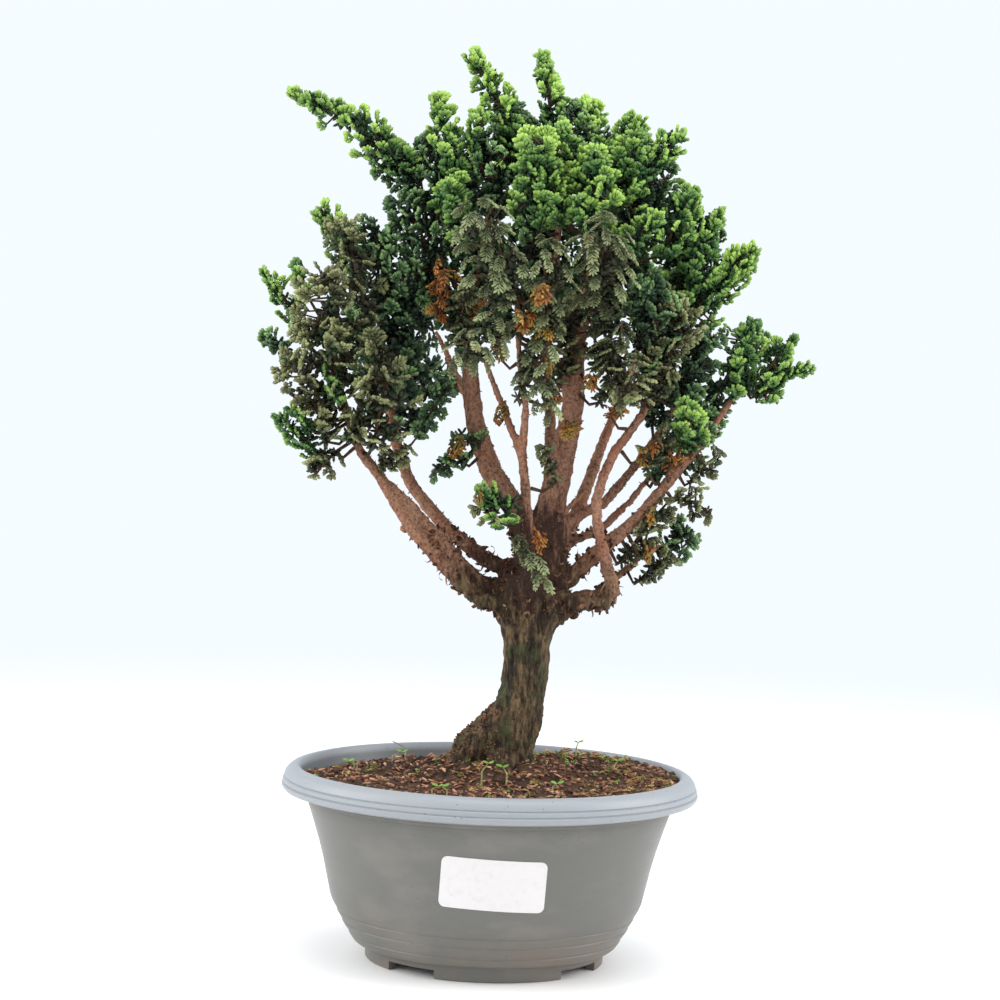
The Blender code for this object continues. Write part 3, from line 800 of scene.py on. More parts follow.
class Twigs:
    """Thin stems that make one piece."""

    def __init__(self, name: str, thinning: float = 0.6) -> None:
        """Starts a curve that gathers every stem.

        Args:
            name: The piece's name.
            thinning: The share of its radius that a stem loses on its way.
        """
        self.name = name
        self.thinning = thinning
        self.curve = bpy.data.curves.new(name, "CURVE")
        self.curve.dimensions = "3D"
        self.curve.bevel_depth = 1.0
        self.curve.bevel_resolution = 0
        self.curve.use_fill_caps = True

    def add(self, points: list[Vector], radius: float) -> None:
        """Adds one tapering twig.

        Args:
            points: The points that it passes.
            radius: Its radius at the first of them.
        """
        spline = self.curve.splines.new("POLY")
        spline.points.add(len(points) - 1)
        for k, (slot, point) in enumerate(zip(spline.points, points)):
            slot.co = (*point, 1.0)
            slot.radius = radius * (1.0 - self.thinning * k / len(points))

    def build(self, material: Material) -> None:
        """Turns the curve into a mesh and dresses it.

        Args:
            material: The stems' material.
        """
        twigs = linked(self.name, self.curve)
        pick(twigs)
        bpy.ops.object.convert(target="MESH")
        twigs.data.shade_smooth()
        dress(twigs, material)


@dataclass
class Pot:
    """The turned plastic pot, its feet, its drain holes and the sticker on its wall.

    The outline runs from the middle of the underside out, up the wall, over the rim and
    down the inner wall, as (radius, height) in millimetres. The notches and holes are in
    millimetres too, and turns and the crease's angle in degrees.
    """

    segments: int = 128
    depth_share: float = 0.84
    underside: tuple[float, float] = (53.6, 6.4)
    foot: tuple = ((54.6, 0.5), (55.1, 0.02), (59.1, 0.02), (59.6, 0.5), (59.7, 7.1), (60.5, 7.8))
    band: tuple = ((64.6, 8.2), (66.3, 9.6), (68.2, 12.4), (68.0, 12.9), (68.3, 13.4), (70.4, 16.2),
                   (71.8, 18.4), (71.6, 18.9), (71.9, 19.4), (74.4, 23.4), (74.2, 24.0),
                   (74.6, 24.5), (76.8, 28.2), (78.1, 31.5))
    wall: tuple = ((80.0, 40.0), (82.0, 49.0), (84.4, 58.0), (87.3, 67.2), (89.2, 73.0), (90.5, 76.8))
    collar: tuple = ((90.6, 79.2), (91.6, 79.6), (91.9, 80.6), (94.2, 81.6), (101.0, 83.2))
    rim: tuple = ((102.8, 83.8), (103.7, 84.9), (103.9, 86.3), (103.0, 86.9), (103.5, 87.7),
                  (103.2, 89.1), (102.3, 89.7), (102.7, 90.4), (102.2, 91.9), (101.0, 93.5),
                  (99.2, 94.8), (97.2, 95.4), (95.8, 95.3), (95.0, 94.6))
    inside: tuple = ((94.4, 92.0), (91.4, 84.0), (82.0, 58.0), (73.6, 27.5), (62.0, 10.2))
    notch: Triple = (150.0, 28.0, 8.8)
    notch_turns: tuple[float, float] = (53.0, 143.0)
    drain_ring: float = 32.0
    drain_radius: float = 4.5
    drain_depth: float = 20.0
    drain_sides: int = 24
    drain_count: int = 6
    crease: float = 38.0
    label_gap: float = 0.3 * MM
    label_margins: tuple[float, float] = (0.2 * MM, 0.9 * MM)
    label_thickness: float = 0.25 * MM
    label_corner: float = 3.0 * MM
    label_corner_cuts: int = 6
    label_cuts: tuple[int, int] = (24, 6)
    label_tilt: float = 0.045
    label_crease: float = 50.0
    before_wall: float = 50.0 * MM

    def __post_init__(self) -> None:
        """Finds the pot's axis."""
        low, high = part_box("pot")
        self.axis = Vector(((low[0] + high[0]) / 2, (low[1] + high[1]) / 2, 0.0))

    def inner_radius(self, height: float) -> float:
        """The radius of the inner wall near the rim.

        Args:
            height: The height above the floor.

        Returns:
            The radius there.
        """
        (high_radius, high), (low_radius, low) = self.inside[:2]
        share = (height / MM - low) / (high - low)
        return (low_radius + share * (high_radius - low_radius)) * MM

    def turn_shell(self) -> Object:
        """Extrudes a disc ring by ring along the outline and closes it.

        Returns:
            The round shell, not yet oval.
        """
        radius, height = self.underside
        shell = shape(bpy.ops.mesh.primitive_circle_add, "grey_pot", vertices=self.segments,
                      radius=radius * MM, fill_type="NGON", location=(0.0, 0.0, height * MM))
        with editing(shell):
            bpy.ops.mesh.flip_normals()
            for ring in (*self.foot, *self.band, *self.wall, *self.collar, *self.rim, *self.inside):
                rise, swell = (ring[1] - height) * MM, ring[0] / radius
                bpy.ops.mesh.extrude_region_move(TRANSFORM_OT_translate={"value": (0.0, 0.0, rise)})
                bpy.ops.transform.resize(value=(swell, swell, 1.0),
                                         center_override=(0.0, 0.0, ring[1] * MM))
                radius, height = ring
        with editing(shell):
            bpy.ops.mesh.select_all(action="DESELECT")
            bpy.ops.mesh.select_non_manifold()
            bpy.ops.mesh.edge_face_add()
            face_out()
        return shell

    def cut_out(self, shell: Object, cutter: Object) -> None:
        """Takes a cutter's shape out of the shell."""
        apply_modifier(shell, "BOOLEAN", operation="DIFFERENCE", object=cutter)
        bpy.data.objects.remove(cutter)

    def build(self) -> Object:
        """Makes the pot.

        Returns:
            The dressed pot.
        """
        shell = self.turn_shell()
        for turn in self.notch_turns:
            self.cut_out(shell, shape(bpy.ops.mesh.primitive_cube_add, "notch",
                                      [side * MM for side in self.notch], size=1.0,
                                      rotation=(0.0, 0.0, math.radians(turn))))
        for k in range(self.drain_count):
            turn = math.tau * k / self.drain_count
            place = (self.drain_ring * MM * math.cos(turn), self.drain_ring * MM * math.sin(turn),
                     self.inside[-1][1] * MM)
            self.cut_out(shell, shape(bpy.ops.mesh.primitive_cylinder_add, "drain",
                                      vertices=self.drain_sides, radius=self.drain_radius * MM,
                                      depth=self.drain_depth * MM, location=place))
        shell.data.transform(Matrix.Translation(self.axis)
                             @ Matrix.Diagonal((1.0, self.depth_share, 1.0, 1.0)))
        smooth(shell, self.crease)
        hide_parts("pot")
        finish = PlasticFinish(tuple(self.axis), self.depth_share, self.inside[0][0] * MM)
        return dress(shell, finish.make())

    def build_label(self, shell: Object) -> None:
        """Lays a sticker with round corners on the pot's wall.

        Args:
            shell: The pot.
        """
        low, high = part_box("pot_label")
        side, up = self.label_margins
        label = shape(bpy.ops.mesh.primitive_plane_add, "blank_label",
                      (high[0] - low[0] - side, high[2] - low[2] - up, 1.0),
                      size=1.0, rotation=(math.pi / 2, self.label_tilt, 0.0),
                      location=((low[0] + high[0]) / 2, low[1], (low[2] + high[2]) / 2))
        with editing(label):
            bpy.ops.mesh.bevel(affect="VERTICES", offset=self.label_corner, segments=self.label_corner_cuts)
            for axis, cuts in zip((0, 2), self.label_cuts):
                for k in range(1, cuts):
                    place, across = [0.0, 0.0, 0.0], [0.0, 0.0, 0.0]
                    place[axis] = low[axis] + (high[axis] - low[axis]) * k / cuts
                    across[axis] = 1.0
                    bpy.ops.mesh.select_all(action="SELECT")
                    bpy.ops.mesh.bisect(plane_co=place, plane_no=across)
        wall = tree_of(shell)
        for vert in label.data.vertices:
            start = Vector((vert.co.x, low[1] - self.before_wall, vert.co.z))
            vert.co.y = wall.ray_cast(start, Vector((0.0, 1.0, 0.0)))[0].y - self.label_gap
        apply_modifier(label, "SOLIDIFY", thickness=self.label_thickness, offset=-1.0)
        smooth(label, self.label_crease)
        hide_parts("pot_label")
        dress(label, PaperFinish().make())


def crumb(seed: int, size: Sequence[float]) -> Mould:
    """A lump with broken faces.

    Args:
        seed: The seed of its shape.
        size: Its length, width and height in millimetres.

    Returns:
        The mould.
    """
    rng = random.Random(seed)
    lump = shape(bpy.ops.mesh.primitive_ico_sphere_add, "crumb", subdivisions=1, radius=0.5 * MM)
    for vert in lump.data.vertices:
        vert.co *= rng.uniform(0.68, 1.3)
    return Mould.of(settle(lump, size))


def crumbs(seed: int, count: int, size: Sequence[float]) -> list[Mould]:
    """Some lumps of one size."""
    return [crumb(seed + k, size) for k in range(count)]


@dataclass
class Wood:
    """Trunk, roots and branches, with bark relief, spurs, shaggy dead twigs and flakes.

    The relief's furrows and strands each have their lumps a metre across the wood and up.
    """

    voxel: float = 1.5 * MM
    smoothing: int = 5
    weld: float = 0.01 * MM
    young_from: tuple[float, float] = (175.0 * MM, 196.0 * MM)
    furrows: tuple[float, float] = (330.0, 55.0)
    strands: tuple[float, float] = (800.0, 210.0)
    plates: float = 420.0
    scales: float = 950.0
    knots: float = 190.0
    furrow_depth: float = 1.5 * MM
    scale_depth: float = 0.7 * MM
    burl_depth: float = 2.6 * MM
    burl_height: float = 182.0 * MM
    burl_spread: float = 15.0 * MM
    spur_count: int = 2300
    spur_heights: tuple[float, float] = (190.0 * MM, 395.0 * MM)
    spur_lean: float = 0.7
    shag_count: int = 150
    shag_heights: tuple[float, float] = (168.0 * MM, 205.0 * MM)
    shag_bends: Triple = (0.25, 0.5, -0.35)
    flake_count: int = 760
    flake_heights: tuple[float, float] = (172.0 * MM, 216.0 * MM)
    flake_size: Triple = (5.2, 2.4, 1.5)
    flake_fall: float = 0.8
    earth_tries: int = 1260
    earth_heights: tuple[float, float] = (92.0 * MM, 128.0 * MM)
    earth_size: Triple = (2.0, 1.7, 1.4)
    moulds: int = 4
    seed: int = 11

    def relief(self, point: Vector) -> float:
        """How far the bark stands out at a point.

        Args:
            point: A point of the smooth wood.

        Returns:
            The height in metres.
        """
        low, high = self.young_from
        young = min(1.0, max(0.0, (point.z - low) / (high - low)))
        furrow = lumps(point.x, point.y, self.furrows[0], point.z * self.furrows[1])
        strand = lumps(point.x, point.y, self.strands[0], point.z * self.strands[1] + 7.0)
        plate = noise.noise(point * self.plates + Vector((3.0, 1.0, 0.0)))
        old = self.furrow_depth * (0.35 - abs(furrow) * 1.6 + 0.35 * strand + 0.3 * plate)
        scales = self.scale_depth * (0.7 * plate + 0.5 * noise.noise(point * self.scales))
        burl = math.exp(-((point.z - self.burl_height) / self.burl_spread) ** 2)
        knots = noise.noise(point * self.knots) * 0.6 + noise.noise(point * self.plates) * 0.5
        return old * (1.0 - young) + scales * young + self.burl_depth * burl * knots

    def build(self) -> Object:
        """Makes the wood.

        Returns:
            The dressed wood.
        """
        wood = linked("bark_wood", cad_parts["trunk_and_branches"].data.copy())
        with editing(wood):
            bpy.ops.mesh.remove_doubles(threshold=self.weld)
        apply_modifier(wood, "REMESH", mode="VOXEL", voxel_size=self.voxel)
        apply_modifier(wood, "SMOOTH", factor=0.5, iterations=self.smoothing)
        shifts = [v.normal * self.relief(v.co) for v in wood.data.vertices]
        for vert, shift in zip(wood.data.vertices, shifts):
            vert.co += shift
        wood.data.shade_smooth()
        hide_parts("trunk_and_branches")
        return dress(wood, BarkFinish().make())

    def thorn(self) -> Mould:
        """A short blunt spur that points along X.

        Returns:
            The mould.
        """
        return Mould.of(shape(bpy.ops.mesh.primitive_cone_add, "thorn", vertices=3,
                              radius1=0.55 * MM, radius2=0.2 * MM, depth=2.0 * MM,
                              rotation=(0.0, math.pi / 2, 0.0), location=(0.8 * MM, 0.0, 0.0)))

    def curl(self, bend: float, joints: int = 5, step: float = 1.5 * MM, thinning: float = 0.82) -> Mould:
        """A dead twig that curls, pointing along X.

        Args:
            bend: How far each joint turns, in radians.
            joints: How many joints it has.
            step: The length between two joints.
            thinning: How thick it is after a joint, as a share.

        Returns:
            The mould.
        """
        twig = shape(bpy.ops.mesh.primitive_circle_add, "curl", vertices=4, radius=0.75 * MM,
                     fill_type="NGON", rotation=(0.0, math.pi / 2, 0.0))
        place, turn = Vector(), 0.0
        with editing(twig):
            for _ in range(joints):
                turn += bend
                move = Vector((math.cos(turn), 0.0, math.sin(turn))) * step
                place += move
                bpy.ops.mesh.extrude_region_move(TRANSFORM_OT_translate={"value": move})
                bpy.ops.transform.resize(value=(thinning, thinning, thinning), center_override=place)
            face_out()
        return Mould.of(twig)

    def scatter(self, wood: Object, count: int, heights: tuple[float, float],
                rng: random.Random) -> Iterator[tuple[Vector, Vector]]:
        """Draws points of the wood's surface.

        Args:
            wood: The wood.
            count: How many points.
            heights: The least and the greatest height.
            rng: The source of the draws.

        Yields:
            A point and the surface's direction there.
        """
        faces = [p for p in wood.data.polygons if heights[0] < p.center.z < heights[1]]
        for face in rng.choices(faces, k=count):
            yield face.center.copy(), face.normal.copy()

    def build_loose(self, wood: Object) -> None:
        """Sets spurs along the branches, dead twigs and flakes round the head of the trunk, and
        earth on the roots.

        Args:
            wood: The wood.
        """
        rng = random.Random(self.seed)
        spurs = Setting([self.thorn()])
        for place, out in self.scatter(wood, self.spur_count, self.spur_heights, rng):
            along = (out + UP * rng.uniform(0.1, 0.9)).normalized() + stray(rng, self.spur_lean)
            spurs.add(0, aim(place - out * 0.2 * MM, along, Vector((0.3, 1.0, 0.2)),
                             0.25 + 0.65 * rng.random() ** 2), rng.random())
        dead = EarthFinish("dead_twig", (54, 36, 26), (116, 82, 60), (172, 132, 98)).make()
        dress(spurs.build("branch_spurs"), dead)
        shag = Setting([self.curl(bend) for bend in self.shag_bends])
        for place, out in self.scatter(wood, self.shag_count, self.shag_heights, rng):
            fall = Vector((rng.uniform(-0.6, 0.6), rng.uniform(-0.6, 0.6), rng.uniform(-1.3, 0.4)))
            shag.add(rng.randrange(len(shag.moulds)),
                     aim(place - out * 0.4 * MM, out + fall, Vector((1.0, 0.4, 0.0)),
                         rng.uniform(0.35, 0.9)), rng.random() * 0.7)
        dress(shag.build("dead_twigs"), dead)
        flakes = Setting(crumbs(70, self.moulds, self.flake_size))
        for place, out in self.scatter(wood, self.flake_count, self.flake_heights, rng):
            fall = stray(rng, self.flake_fall)
            flakes.add(rng.randrange(self.moulds),
                       aim(place + out * 0.4 * MM, out * 0.6 + fall, Vector((0.2, 0.1, 1.0)),
                           0.3 + 0.8 * rng.random() ** 2), rng.random() ** 2)
        flaky = EarthFinish("bark_flake", (40, 25, 18), (92, 60, 44), (168, 126, 96))
        dress(flakes.build("bark_flakes"), flaky.make())
        earth = Setting(crumbs(80, self.moulds, self.earth_size))
        for place, out in self.scatter(wood, self.earth_tries, self.earth_heights, rng):
            if rng.random() < 0.12 - out.x + 0.6 * out.z:
                earth.add(rng.randrange(self.moulds),
                          aim(place, out, Vector((0.2, 1.0, 0.1)), rng.uniform(0.35, 1.1)), rng.random())
        peat = EarthFinish("root_earth", (48, 30, 22), (104, 66, 48), (160, 116, 88))
        dress(earth.build("root_earth"), peat.make())


def leaf_burst(seed: int, blades: int = 8) -> Mould:
    """Leaf blades that stand out from one point, for the dark inside of a plume.

    Args:
        seed: The seed of their sizes.
        blades: How many there are.

    Returns:
        The mould.
    """
    rng = random.Random(seed)
    copies = []
    for k in range(blades):
        blade = shape(bpy.ops.mesh.primitive_uv_sphere_add, "blade", segments=3, ring_count=2,
                      radius=MM, rotation=(0.0, math.pi / 2, 0.0))
        settle(blade, (rng.uniform(1.6, 2.4), rng.uniform(1.0, 1.4), rng.uniform(0.6, 0.9)))
        level = 1.0 - (2 * k + 1) / blades
        ring, turn = math.sqrt(1.0 - level * level), LEAF_TURN * k
        away = Vector((ring * math.cos(turn), ring * math.sin(turn), level))
        blade.data.transform(aim(away * rng.uniform(1.6, 2.6) * MM, away, Vector((0.2, 0.3, 1.0)), 1.0))
        copies.append(blade)
    return Mould.of(join(copies, "burst"))


@dataclass(frozen=True)
class FanPattern:
    """How the knobs of one fan are set out, in millimetres and radians."""

    knob: Triple
    pitch: float
    side_rows: tuple[int, ...]
    side_angle: float
    cup: float
    jitter: float
    side_pitch: float = 0.92
    side_curve: float = 0.86
    end_size: float = 1.12
    inner_size: float = 0.92
    edge_light: float = 0.25
    knob_light: float = 0.24

    @property
    def reach(self) -> float:
        """The fan's length in metres."""
        return self.pitch * (len(self.side_rows) + 1) * MM

    def knob_shape(self) -> Object:
        """One plump scale leaf along X, with its blunt end forward.

        Returns:
            The modelled knob.
        """
        length = self.knob[0] * MM
        knob = shape(bpy.ops.mesh.primitive_uv_sphere_add, "knob", segments=3, ring_count=2,
                     radius=0.55 * MM, rotation=(0.0, math.pi / 2, 0.0))
        settle(knob, self.knob)
        for vert in knob.data.vertices:
            if abs(vert.co.x) < 0.1 * length:
                vert.co.x += 0.2 * length
        tips = knob.data.attributes.new("tip", "FLOAT", "POINT")
        for vert, number in zip(knob.data.vertices, tips.data):
            number.value = vert.co.x / length * self.knob_light
        return knob

    def spots(self, rng: random.Random) -> Iterator[tuple[float, float, float, float, float]]:
        """Lays out the knobs of a fan.

        Args:
            rng: The source of its small accidents.

        Yields:
            Each knob's x, y, heading, size and share of the way to the fan's edge.
        """
        rows = len(self.side_rows)
        reach = self.reach / MM
        for i in range(0, rows, 2):
            x = (i + 0.5) * self.pitch
            yield x, 0.0, rng.uniform(-0.12, 0.12), 1.0, x / reach
        yield rows * self.pitch, 0.0, 0.0, self.end_size, 1.0
        for i, count in enumerate(self.side_rows):
            for side in (-1.0, 1.0):
                heading = side * (self.side_angle + rng.uniform(-self.jitter, self.jitter))
                x, y = (i + 0.3) * self.pitch, 0.0
                for j in range(count):
                    x += self.pitch * self.side_pitch * math.cos(heading)
                    y += self.pitch * self.side_pitch * math.sin(heading)
                    last = j == count - 1
                    yield (x, y, heading + rng.uniform(-0.25, 0.25),
                           self.end_size if last else self.inner_size,
                           math.hypot(x, y) / reach + (self.edge_light if last else 0.0))
                    heading *= self.side_curve

    def mould(self, seed: int) -> Mould:
        """Copies the knob along the fan's rows.

        Args:
            seed: The seed of its small accidents.

        Returns:
            The fan's mould, which grows along X and lies in XY.
        """
        rng = random.Random(seed)
        knob = self.knob_shape()
        copies = []
        for x, y, heading, size, share in self.spots(rng):
            copy = linked("knob", knob.data.copy())
            lift = self.cup * (x * x + 1.6 * y * y) + rng.uniform(-0.3, 0.3)
            slope = 2.0 * self.cup * math.hypot(x, y) + rng.uniform(-0.25, 0.25)
            along = Vector((math.cos(heading), math.sin(heading), slope))
            across = Vector((-math.sin(heading), math.cos(heading), rng.uniform(-0.5, 0.5)))
            copy.data.transform(aim(Vector((x, y, lift)) * MM, along, across,
                                    size * rng.uniform(0.9, 1.12)))
            for number in copy.data.attributes["tip"].data:
                number.value += min(1.0, share)
            copies.append(copy)
        bpy.data.objects.remove(knob)
        return Mould.of(join(copies, "fan"))


FAN_PATTERNS: dict[Kind, FanPattern] = {
    Kind.FRESH: FanPattern((2.6, 2.1, 1.7), 1.85, (2, 2, 1), 0.86, 0.02, 0.24),
    Kind.DARK: FanPattern((2.6, 2.0, 1.5), 1.9, (2, 2, 1), 0.9, 0.01, 0.28),
    Kind.OLD: FanPattern((2.6, 1.9, 1.4), 1.8, (1, 2, 2, 1), 0.95, 0.0, 0.28),
    Kind.FERN: FanPattern((2.3, 1.15, 0.9), 1.4, (1, 2, 2, 2, 1, 1), 1.0, -0.02, 0.16),
    Kind.DRIED: FanPattern((2.8, 1.3, 1.0), 1.85, (1, 2, 1, 1), 0.95, -0.03, 0.2),
}
LITTER_PATTERN = FanPattern((2.2, 1.0, 0.8), 1.6, (1, 2, 1), 0.9, -0.02, 0.2)
MOSS_PATTERN = FanPattern((1.4, 1.1, 1.0), 1.1, (1, 2), 0.9, 0.05, 0.3)


@dataclass(frozen=True)
class Habit:
    """How the fans of one kind grow and turn.

    Growth is the share of five directions: away from the stem, along it, still more along
    it at its tip, up, and by chance. Facing is that of up, away from the stem and chance.
    """

    growth: tuple[float, float, float, float, float]
    facing: Triple


HABITS: dict[Kind, Habit] = {
    Kind.FRESH: Habit((1.0, 0.3, 1.3, 0.35, 0.3), (1.0, 0.5, 0.6)),
    Kind.DARK: Habit((1.0, 0.3, 1.0, 0.0, 0.4), (0.5, 0.5, 0.8)),
    Kind.OLD: Habit((1.0, 0.2, 0.8, -0.25, 0.4), (0.5, 0.7, 0.7)),
    Kind.FERN: Habit((0.8, 0.3, 0.0, -0.75, 0.3), (0.3, 1.0, 0.35)),
    Kind.DRIED: Habit((0.8, 0.3, 0.0, -0.75, 0.3), (0.3, 1.0, 0.35)),
}


@dataclass
class Plume:
    """One leafy plume round a stem that arches from its foot to its tip."""

    kind: Kind
    foot: Vector
    tip: Vector
    radius: float
    rng: random.Random
    arch: float = 0.14
    coverage: float = 0.54
    fewest: int = 6
    lumps_per_metre: float = 75.0
    shell: float = 0.88
    shell_lumps: float = 0.6
    tip_lead: float = 0.3
    sizes: tuple[float, float] = (0.82, 1.18)
    burst_every: int = 3
    burst_width: float = 8.0 * MM
    burst_most: float = 1.35
    # the bursts' low tone: older inner leaves and painted shade inside the plume
    burst_reach: float = 0.86
    burst_shade_tone: float = 0.3
    fan_shape: float = 0.72
    stem_radius: float = 1.0 * MM
    twig_radius: float = 0.55 * MM
    twig_every: int = 10
    twig_past: float = 0.25
    twig_back: float = 0.08
    inner_share: float = 0.4

    def __post_init__(self) -> None:
        """Finds the length of its fans."""
        self.fan_length = FAN_PATTERNS[self.kind].reach

    def line(self, share: float) -> Vector:
        """The arched stem.

        Args:
            share: How far along it, 0 at the foot and 1 at the tip.

        Returns:
            The place there.
        """
        middle = (self.foot + self.tip) / 2
        middle.z += self.arch * (self.tip - self.foot).length
        near, far = self.foot.lerp(middle, share), middle.lerp(self.tip, share)
        return near.lerp(far, share)

    def width(self, share: float) -> float:
        """The plume's radius: pointed when fresh, rounded when older.

        Args:
            share: How far along the stem.

        Returns:
            The radius there.
        """
        if self.kind is Kind.FRESH:
            return self.radius * (1.0 - 0.6 * share ** 1.6) * min(1.0, share * 4.0 + 0.35)
        return self.radius * math.sin(math.pi * (0.16 + 0.7 * share)) ** 0.6

    def pose(self, along: Vector, out: Vector, share: float) -> tuple[Vector, Vector]:
        """How a fan grows at a place.

        Args:
            along: The direction of the stem.
            out: The direction away from it.
            share: How far along the stem it grows.

        Returns:
            The fan's direction and the direction that its flat side faces.
        """
        habit = HABITS[self.kind]
        chance = stray(self.rng, 1.0)
        away, foot, tip, up, strayed = habit.growth
        direction = out * away + along * (foot + tip * share) + UP * up + chance * strayed
        up, away, strayed = habit.facing
        return direction, UP * up + out * away + chance * strayed

    def place(self, share: float, turn: float, depth: float) -> tuple[Vector, Vector, Vector]:
        """A place in the plume.

        Args:
            share: How far along the stem.
            turn: The angle round it.
            depth: The distance from it, as a share of the plume's radius.

        Returns:
            The place, the stem's direction and the direction away from the stem.
        """
        here = self.line(share)
        along = (self.line(min(1.0, share + 0.05)) - self.line(max(0.0, share - 0.05))).normalized()
        out = Matrix.Rotation(turn, 3, along) @ along.cross(Vector((0.3, 1.0, 0.2))).normalized()
        return here + out * self.width(share) * depth, along, out

    def grow(self, setting: Setting, twigs: Twigs, crown: "Crown") -> None:
        """Sets fans round the stem and dark bursts near it.

        Args:
            setting: Takes the fans, after the burst as its first mould.
            twigs: Takes the stem and the twigs.
            crown: Tells where light falls and what is hidden.
        """
        rng = self.rng
        area = self.fan_shape * self.fan_length ** 2
        skin = math.tau * self.radius * (self.tip - self.foot).length
        count = max(self.fewest, round(self.coverage * skin / area))
        twigs.add([self.line(t) for t in (0.0, 0.3, 0.6, 0.97)], self.stem_radius)
        for k in range(count):
            share = min(1.0, (k + rng.uniform(0.2, 0.8)) / count * 1.04)
            turn = k * LEAF_TURN + rng.uniform(-0.4, 0.4)
            lump = noise.noise(self.place(share, turn, 0.7)[0] * self.lumps_per_metre)
            head, along, out = self.place(share, turn, self.shell + self.shell_lumps * lump)
            head += along * (self.tip_lead * self.fan_length * share)
            direction, face = self.pose(along, out, share)
            direction.normalize()
            size = rng.uniform(*self.sizes)
            root = head - direction * self.fan_length * size
            if k % self.burst_every == 0 and self.kind is not Kind.DRIED:
                inside, _, _ = self.place(share * self.burst_reach, turn + 1.2, rng.uniform(0.0, 0.5))
                burst = min(self.burst_most, self.width(share) / self.burst_width)
                # Painted shade, together with the older inner leaves: the bursts inside take a low tone.
                setting.add(0, aim(inside, direction, face, burst), self.burst_shade_tone)
            if crown.hides(head, self) or (rng.random() > self.inner_share and crown.faces_in(head, out)):
                continue
            # Painted light: fans on the outside and the top of the crown, facing up and on outstanding
            # lumps take a lighter tone, those deep inside a darker one.
            tone = crown.light(head) * 0.5 + 0.2 + 0.3 * out.z + 0.75 * lump
            setting.add(rng.randrange(1, len(setting.moulds)),
                        aim(root, direction, face.cross(direction), size), tone + rng.uniform(-0.1, 0.12))
            if k % self.twig_every == 0 or lump > self.twig_past:
                twigs.add([self.line(max(0.0, share - self.twig_back)), root], self.twig_radius)


PLUMES: list[tuple] = [
    # plume and crown on the left
    ("fresh", (-45, 2, 388), (-110, -8, 425), 14),
    ("fresh", (-27, -6, 384), (-38, -10, 427), 13),
    ("dark", (-23, 18, 355), (-28, 28, 410), 19),
    ("dark", (-27, 2, 318), (-54, -2, 379), 17),
    ("fresh", (6, 0, 398), (-23, -2, 449), 12),
    ("fresh", (-19, -8, 356), (-31, -32, 382), 11),
    # crown in the middle and on the right
    ("dark", (1, 10, 391), (-1, 20, 426), 15),
    ("fresh", (22, 4, 400), (12, 4, 451), 12),
    ("fresh", (16, -20, 365), (10, -46, 404), 19),
    ("fresh", (40, 4, 394), (37, 28, 429), 15),
    ("fresh", (50, -2, 386), (61, 4, 422), 14),
    ("fresh", (49, -16, 378), (84, -20, 410), 15),
    ("dark", (52, 0, 357), (80, 14, 384), 17),
    # outer left
    ("fresh", (-73, 6, 340), (-94, -4, 371), 13),
    ("fresh", (-100, -10, 311), (-120, -16, 338), 9),
    ("dark", (-103, -4, 293), (-121, 2, 306), 8),
    ("old", (-79, -16, 290), (-87, -30, 340), 21),
    ("dark", (-54, 8, 303), (-64, 0, 358), 21),
    ("old", (-84, -26, 267), (-103, -38, 298), 19),
    ("dark", (-47, 24, 262), (-48, 36, 307), 19),
    ("old", (-62, -26, 256), (-55, -40, 293), 18),
    ("fresh", (-90, -22, 251), (-110, -28, 268), 12),
    ("old", (-82, -18, 250), (-91, -26, 238), 12),
    ("old", (-58, -22, 246), (-44, -26, 256), 10),
    ("dark", (-68, 24, 295), (-88, 46, 317), 18),
    ("dark", (-42, 4, 260), (-26, -2, 286), 8),
    # middle front
    ("fern", (-3, -42, 329), (-18, -60, 366), 20),
    ("fern", (-4, -42, 311), (-24, -62, 294), 16),
    ("fern", (12, -38, 302), (21, -58, 272), 12),
    ("fern", (43, -27, 325), (45, -54, 360), 20),
    ("old", (46, -22, 306), (64, -42, 280), 15),
    ("fresh", (54, -26, 352), (73, -42, 370), 10),
    ("dark", (-3, 18, 315), (6, 34, 360), 20),
    ("dark", (49, 2, 315), (62, 14, 352), 18),
    # outer right
    ("fresh", (83, 4, 326), (90, 8, 386), 17),
    ("fresh", (89, -4, 322), (118, -10, 354), 15),
    ("dark", (70, -16, 297), (70, -32, 340), 18),
    ("dark", (86, 2, 282), (101, -8, 316), 15),
    ("dark", (118, 14, 288), (122, 22, 320), 14),
    ("fresh", (126, 4, 286), (151, 0, 303), 12),
    ("fresh", (93, -10, 258), (88, -26, 281), 11),
    ("dark", (83, 26, 259), (106, 34, 275), 14),
    ("old", (89, -9, 234), (104, -16, 227), 10),
    ("dark", (82, 18, 205), (98, 12, 218), 13),
    ("dark", (84, 17, 249), (100, 8, 254), 10),
    # tufts low in the middle
    ("dark", (-20, 1, 248), (-34, -6, 241), 8),
    ("fresh", (5, -26, 223), (-10, -38, 236), 12),
    ("fern", (9, -28, 211), (23, -40, 190), 8),
    ("dried", (-33, -12, 318), (-31, -28, 340), 12),
    # back
    ("dark", (-40, 80, 318), (-58, 90, 354), 21),
    ("dark", (-26, 74, 285), (-54, 88, 298), 18),
    ("dark", (75, 80, 323), (95, 86, 352), 19),
    ("old", (64, 70, 282), (88, 84, 293), 18),
    ("fresh", (12, 60, 370), (4, 66, 418), 20),
    ("dark", (25, 58, 314), (42, 82, 340), 20),
    ("fresh", (69, 66, 324), (57, 52, 371), 19),
]


